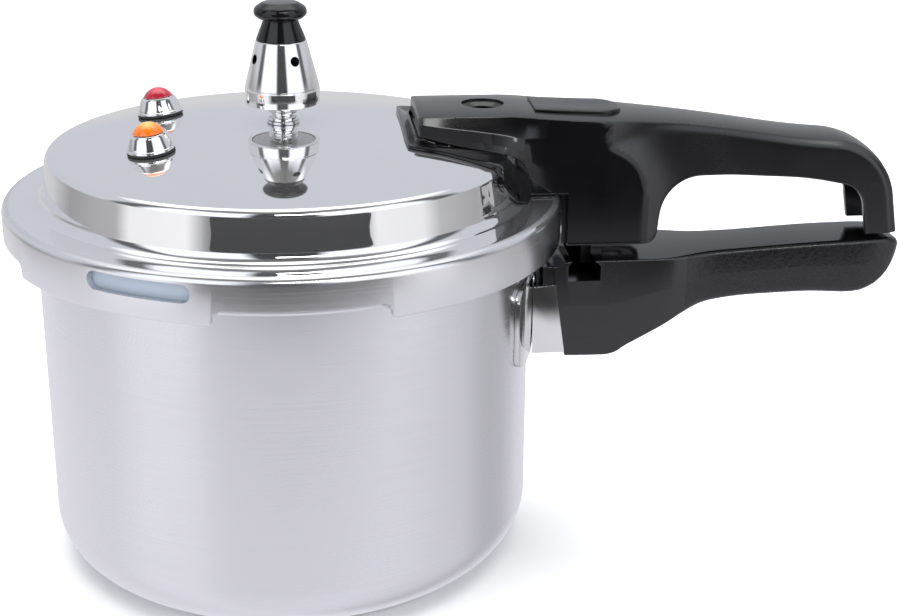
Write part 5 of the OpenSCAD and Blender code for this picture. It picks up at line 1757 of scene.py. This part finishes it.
LOW_BAND = Band(-90, 0, (0.98, 0.97, 1.05), (
    (-180, 0.92), (-150, 0.82), (-120, 0.79), (-92, 0.76), (-76, 0.82), (-48, 0.82), (-36, 0.76), (0, 0.76),
    (34, 0.78),
    (48, 0.76), (70, 0.70), (90, 0.68), (106, 0.50), (122, 0.52), (142, 0.76), (180, 0.92),
))
LOWER_BAND = Band(-17, 3, (0.99, 0.99, 1.02), (
    (-180, 0.66), (-140, 0.64), (-118, 0.34), (-98, 0.42), (-84, 0.44), (-76, 0.95), (-46, 1.0), (-36, 0.3),
    (-28, 0.10),
    (20, 0.10), (34, 0.3), (42, 0.95), (66, 0.90), (76, 0.5), (100, 0.38), (120, 0.5), (180, 0.66),
))
HIGH_BAND = Band(4, 3, (0.97, 1.0, 1.09), (
    (-180, 0.60), (-120, 0.60), (-92, 0.62), (-84, 0.10), (-74, 0.10), (-66, 1.2), (-22, 1.25), (-15, 0.03),
    (13, 0.03),
    (20, 1.25), (66, 1.2), (74, 0.10), (84, 0.10), (92, 0.62), (120, 0.60), (180, 0.60),
))
CEILING_BAND = Band(52, 7, (1.0, 1.0, 1.01),
                    ((-180, 2.0), (-110, 1.8), (-80, 0.25), (0, 0.12), (80, 0.25), (110, 1.8), (180, 2.0)))
ZENITH_BAND = Band(80, 4, (1.0, 1.0, 1.0), ((-180, 1.7), (180, 1.7)))


@dataclass
class Studio:
    """The pale floor, the soft light and the camera."""

    camera_mm: tuple[float, float, float] = (-0.46, -603.26, 317.0)
    yaw_deg: float = 6.0
    pitch_deg: float = 20.5
    lens_mm: float = 66.04
    roll_deg: float = 0.45
    drop: float = 0.0012
    bands: tuple[Band, ...] = (LOW_BAND, LOWER_BAND, HIGH_BAND, CEILING_BAND, ZENITH_BAND)

    def floor(self) -> None:
        """A wide plain floor under the pot."""
        mesh = bpy.data.meshes.new("floor")
        reach = 60.0
        mesh.from_pydata([(-reach, -reach, 0), (reach, -reach, 0), (reach, reach, 0), (-reach, reach, 0)],
                         [], [(0, 1, 2, 3)])
        obj = mesh_object("floor", mesh)
        obj.data.materials.append(FLOOR_WHITE.material())
        obj.location.z = -0.0002
        obj.visible_glossy = False

    def flag(self, name: str, corners: Sequence[tuple[float, float, float]], grey: float) -> None:
        """A card that only reflections see, which gives polished metal its dark lines.

        Args:
            name: name of the card.
            corners: its corners, in metres.
            grey: how dark it is.
        """
        mesh = bpy.data.meshes.new(name)
        mesh.from_pydata(corners, [], [tuple(range(len(corners)))])
        obj = mesh_object(name, mesh)
        obj.data.materials.append(Finish(f"{name}_cloth", (grey, grey, grey), Grain.CAST, 0, 0.9, 0.02,
                                         0.001, specular=0.0).material())
        obj.visible_camera = False
        obj.visible_diffuse = False
        obj.visible_shadow = False
        obj.visible_transmission = False

    def light(self, name: str, place: tuple[float, float, float], aim: tuple[float, float, float],
              size: tuple[float, float],
              power: float, seen: bool = False) -> None:
        """One soft box.

        Args:
            name: name of the light.
            place: where it hangs, in metres.
            aim: the point that it faces.
            size: its two sides, in metres.
            power: its power in watts.
            seen: whether polished surfaces mirror it.
        """
        data = bpy.data.lights.new(name, "AREA")
        data.shape = "RECTANGLE"
        data.size, data.size_y = size
        data.energy = power
        obj = bpy.data.objects.new(name, data)
        bpy.context.scene.collection.objects.link(obj)
        obj.location = place
        obj.rotation_euler = (Vector(aim) - Vector(place)).to_track_quat("-Z", "Y").to_euler()
        obj.visible_glossy = seen

    def world(self) -> None:
        """A bright room in four bands of height, each with its own soft boxes and darker gaps all round."""
        world = bpy.data.worlds.new("studio_room")
        bpy.context.scene.world = world
        world.use_nodes = True
        nodes, links = world.node_tree.nodes, world.node_tree.links
        back = next(n for n in nodes if n.type == "BACKGROUND")
        split = nodes.new("ShaderNodeSeparateXYZ")
        links.new(nodes.new("ShaderNodeTexCoord").outputs["Generated"], split.inputs[0])
        flip = nodes.new("ShaderNodeMath")
        flip.operation = "MULTIPLY"
        flip.inputs[1].default_value = -1
        links.new(split.outputs[1], flip.inputs[0])
        bearing = nodes.new("ShaderNodeMath")
        bearing.operation = "ARCTAN2"
        links.new(split.outputs[0], bearing.inputs[0])
        links.new(flip.outputs[0], bearing.inputs[1])
        share = nodes.new("ShaderNodeMapRange")
        share.inputs["From Min"].default_value = -math.pi
        share.inputs["From Max"].default_value = math.pi
        links.new(bearing.outputs[0], share.inputs["Value"])
        colour = None
        for band in self.bands:
            ramp = nodes.new("ShaderNodeValToRGB")
            for i, (deg, value) in enumerate(band.stops):
                spot = (deg + 180) / 360
                stop = ramp.color_ramp.elements[i] if i < 2 else ramp.color_ramp.elements.new(spot)
                stop.position = spot
                stop.color = (*(value * c for c in band.tint), 1)
            links.new(share.outputs["Result"], ramp.inputs[0])
            if colour is None:
                colour = ramp.outputs[0]
                continue
            rise = nodes.new("ShaderNodeMapRange")
            rise.inputs["From Min"].default_value = math.sin(math.radians(band.starts - band.blend))
            rise.inputs["From Max"].default_value = math.sin(math.radians(band.starts + band.blend))
            links.new(split.outputs[2], rise.inputs["Value"])
            mix = nodes.new("ShaderNodeMix")
            mix.data_type = "RGBA"
            links.new(rise.outputs["Result"], mix.inputs[0])
            links.new(colour, mix.inputs[6])
            links.new(ramp.outputs[0], mix.inputs[7])
            colour = mix.outputs[2]
        links.new(colour, back.inputs["Color"])
        back.inputs["Strength"].default_value = 1.0

    def camera(self) -> None:
        """The camera, in front and above."""
        data = bpy.data.cameras.new("camera")
        data.sensor_width = 36
        data.lens = self.lens_mm
        data.shift_y = self.drop
        data.clip_start = 0.01
        data.clip_end = 120
        obj = bpy.data.objects.new("camera", data)
        bpy.context.scene.collection.objects.link(obj)
        obj.location = Vector(self.camera_mm) * MM
        turn = Matrix.Rotation(math.radians(-self.yaw_deg), 4,
                               "Z") @ Matrix.Rotation(math.radians(90 - self.pitch_deg), 4, "X")
        obj.rotation_euler = (turn @ Matrix.Rotation(math.radians(self.roll_deg), 4, "Z")).to_euler()
        bpy.context.scene.camera = obj

    def build(self) -> None:
        """Sets up the room."""
        bpy.context.scene.view_settings.view_transform = "Standard"
        self.camera()
        self.floor()
        self.world()
        self.flag("front_flag",
                  [(-1.5, -2.3, 0.004), (1.7, -2.3, 0.004), (0.46, -0.58, 0.004), (0.52, -0.40, 0.004),
                   (-0.27, -0.40, 0.004)], 0.02)
        self.light("key_left", (-1.5, -1.1, 1.6), (0, 0, 0.1), (1.8, 1.8), 6)
        self.light("top", (0.1, 0.2, 2.2), (0, 0, 0.1), (2.8, 2.8), 76)
        self.light("front_strip", (0.42, -1.55, 1.28), (0.20, 0, 0.16), (1.15, 0.22), 7.0, True)


def main() -> None:
    """Builds the sub-assemblies in order, and the room round them."""
    logging.basicConfig(level=logging.INFO, format="%(name)s: %(message)s")
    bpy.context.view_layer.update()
    shop, levels = Shop(), Levels.measured()
    parts = [
        Pot(shop, levels), Lid(shop, levels), Weight(shop, levels),
        SafetyValve(shop, levels, "red", 150, RED_CAP),
        SafetyValve(shop, levels, "orange", 210, ORANGE_CAP), LidHandle(shop, levels),
    ]
    for part in parts:
        part.build()
    Studio().build()


if __name__ == "__main__":
    main()
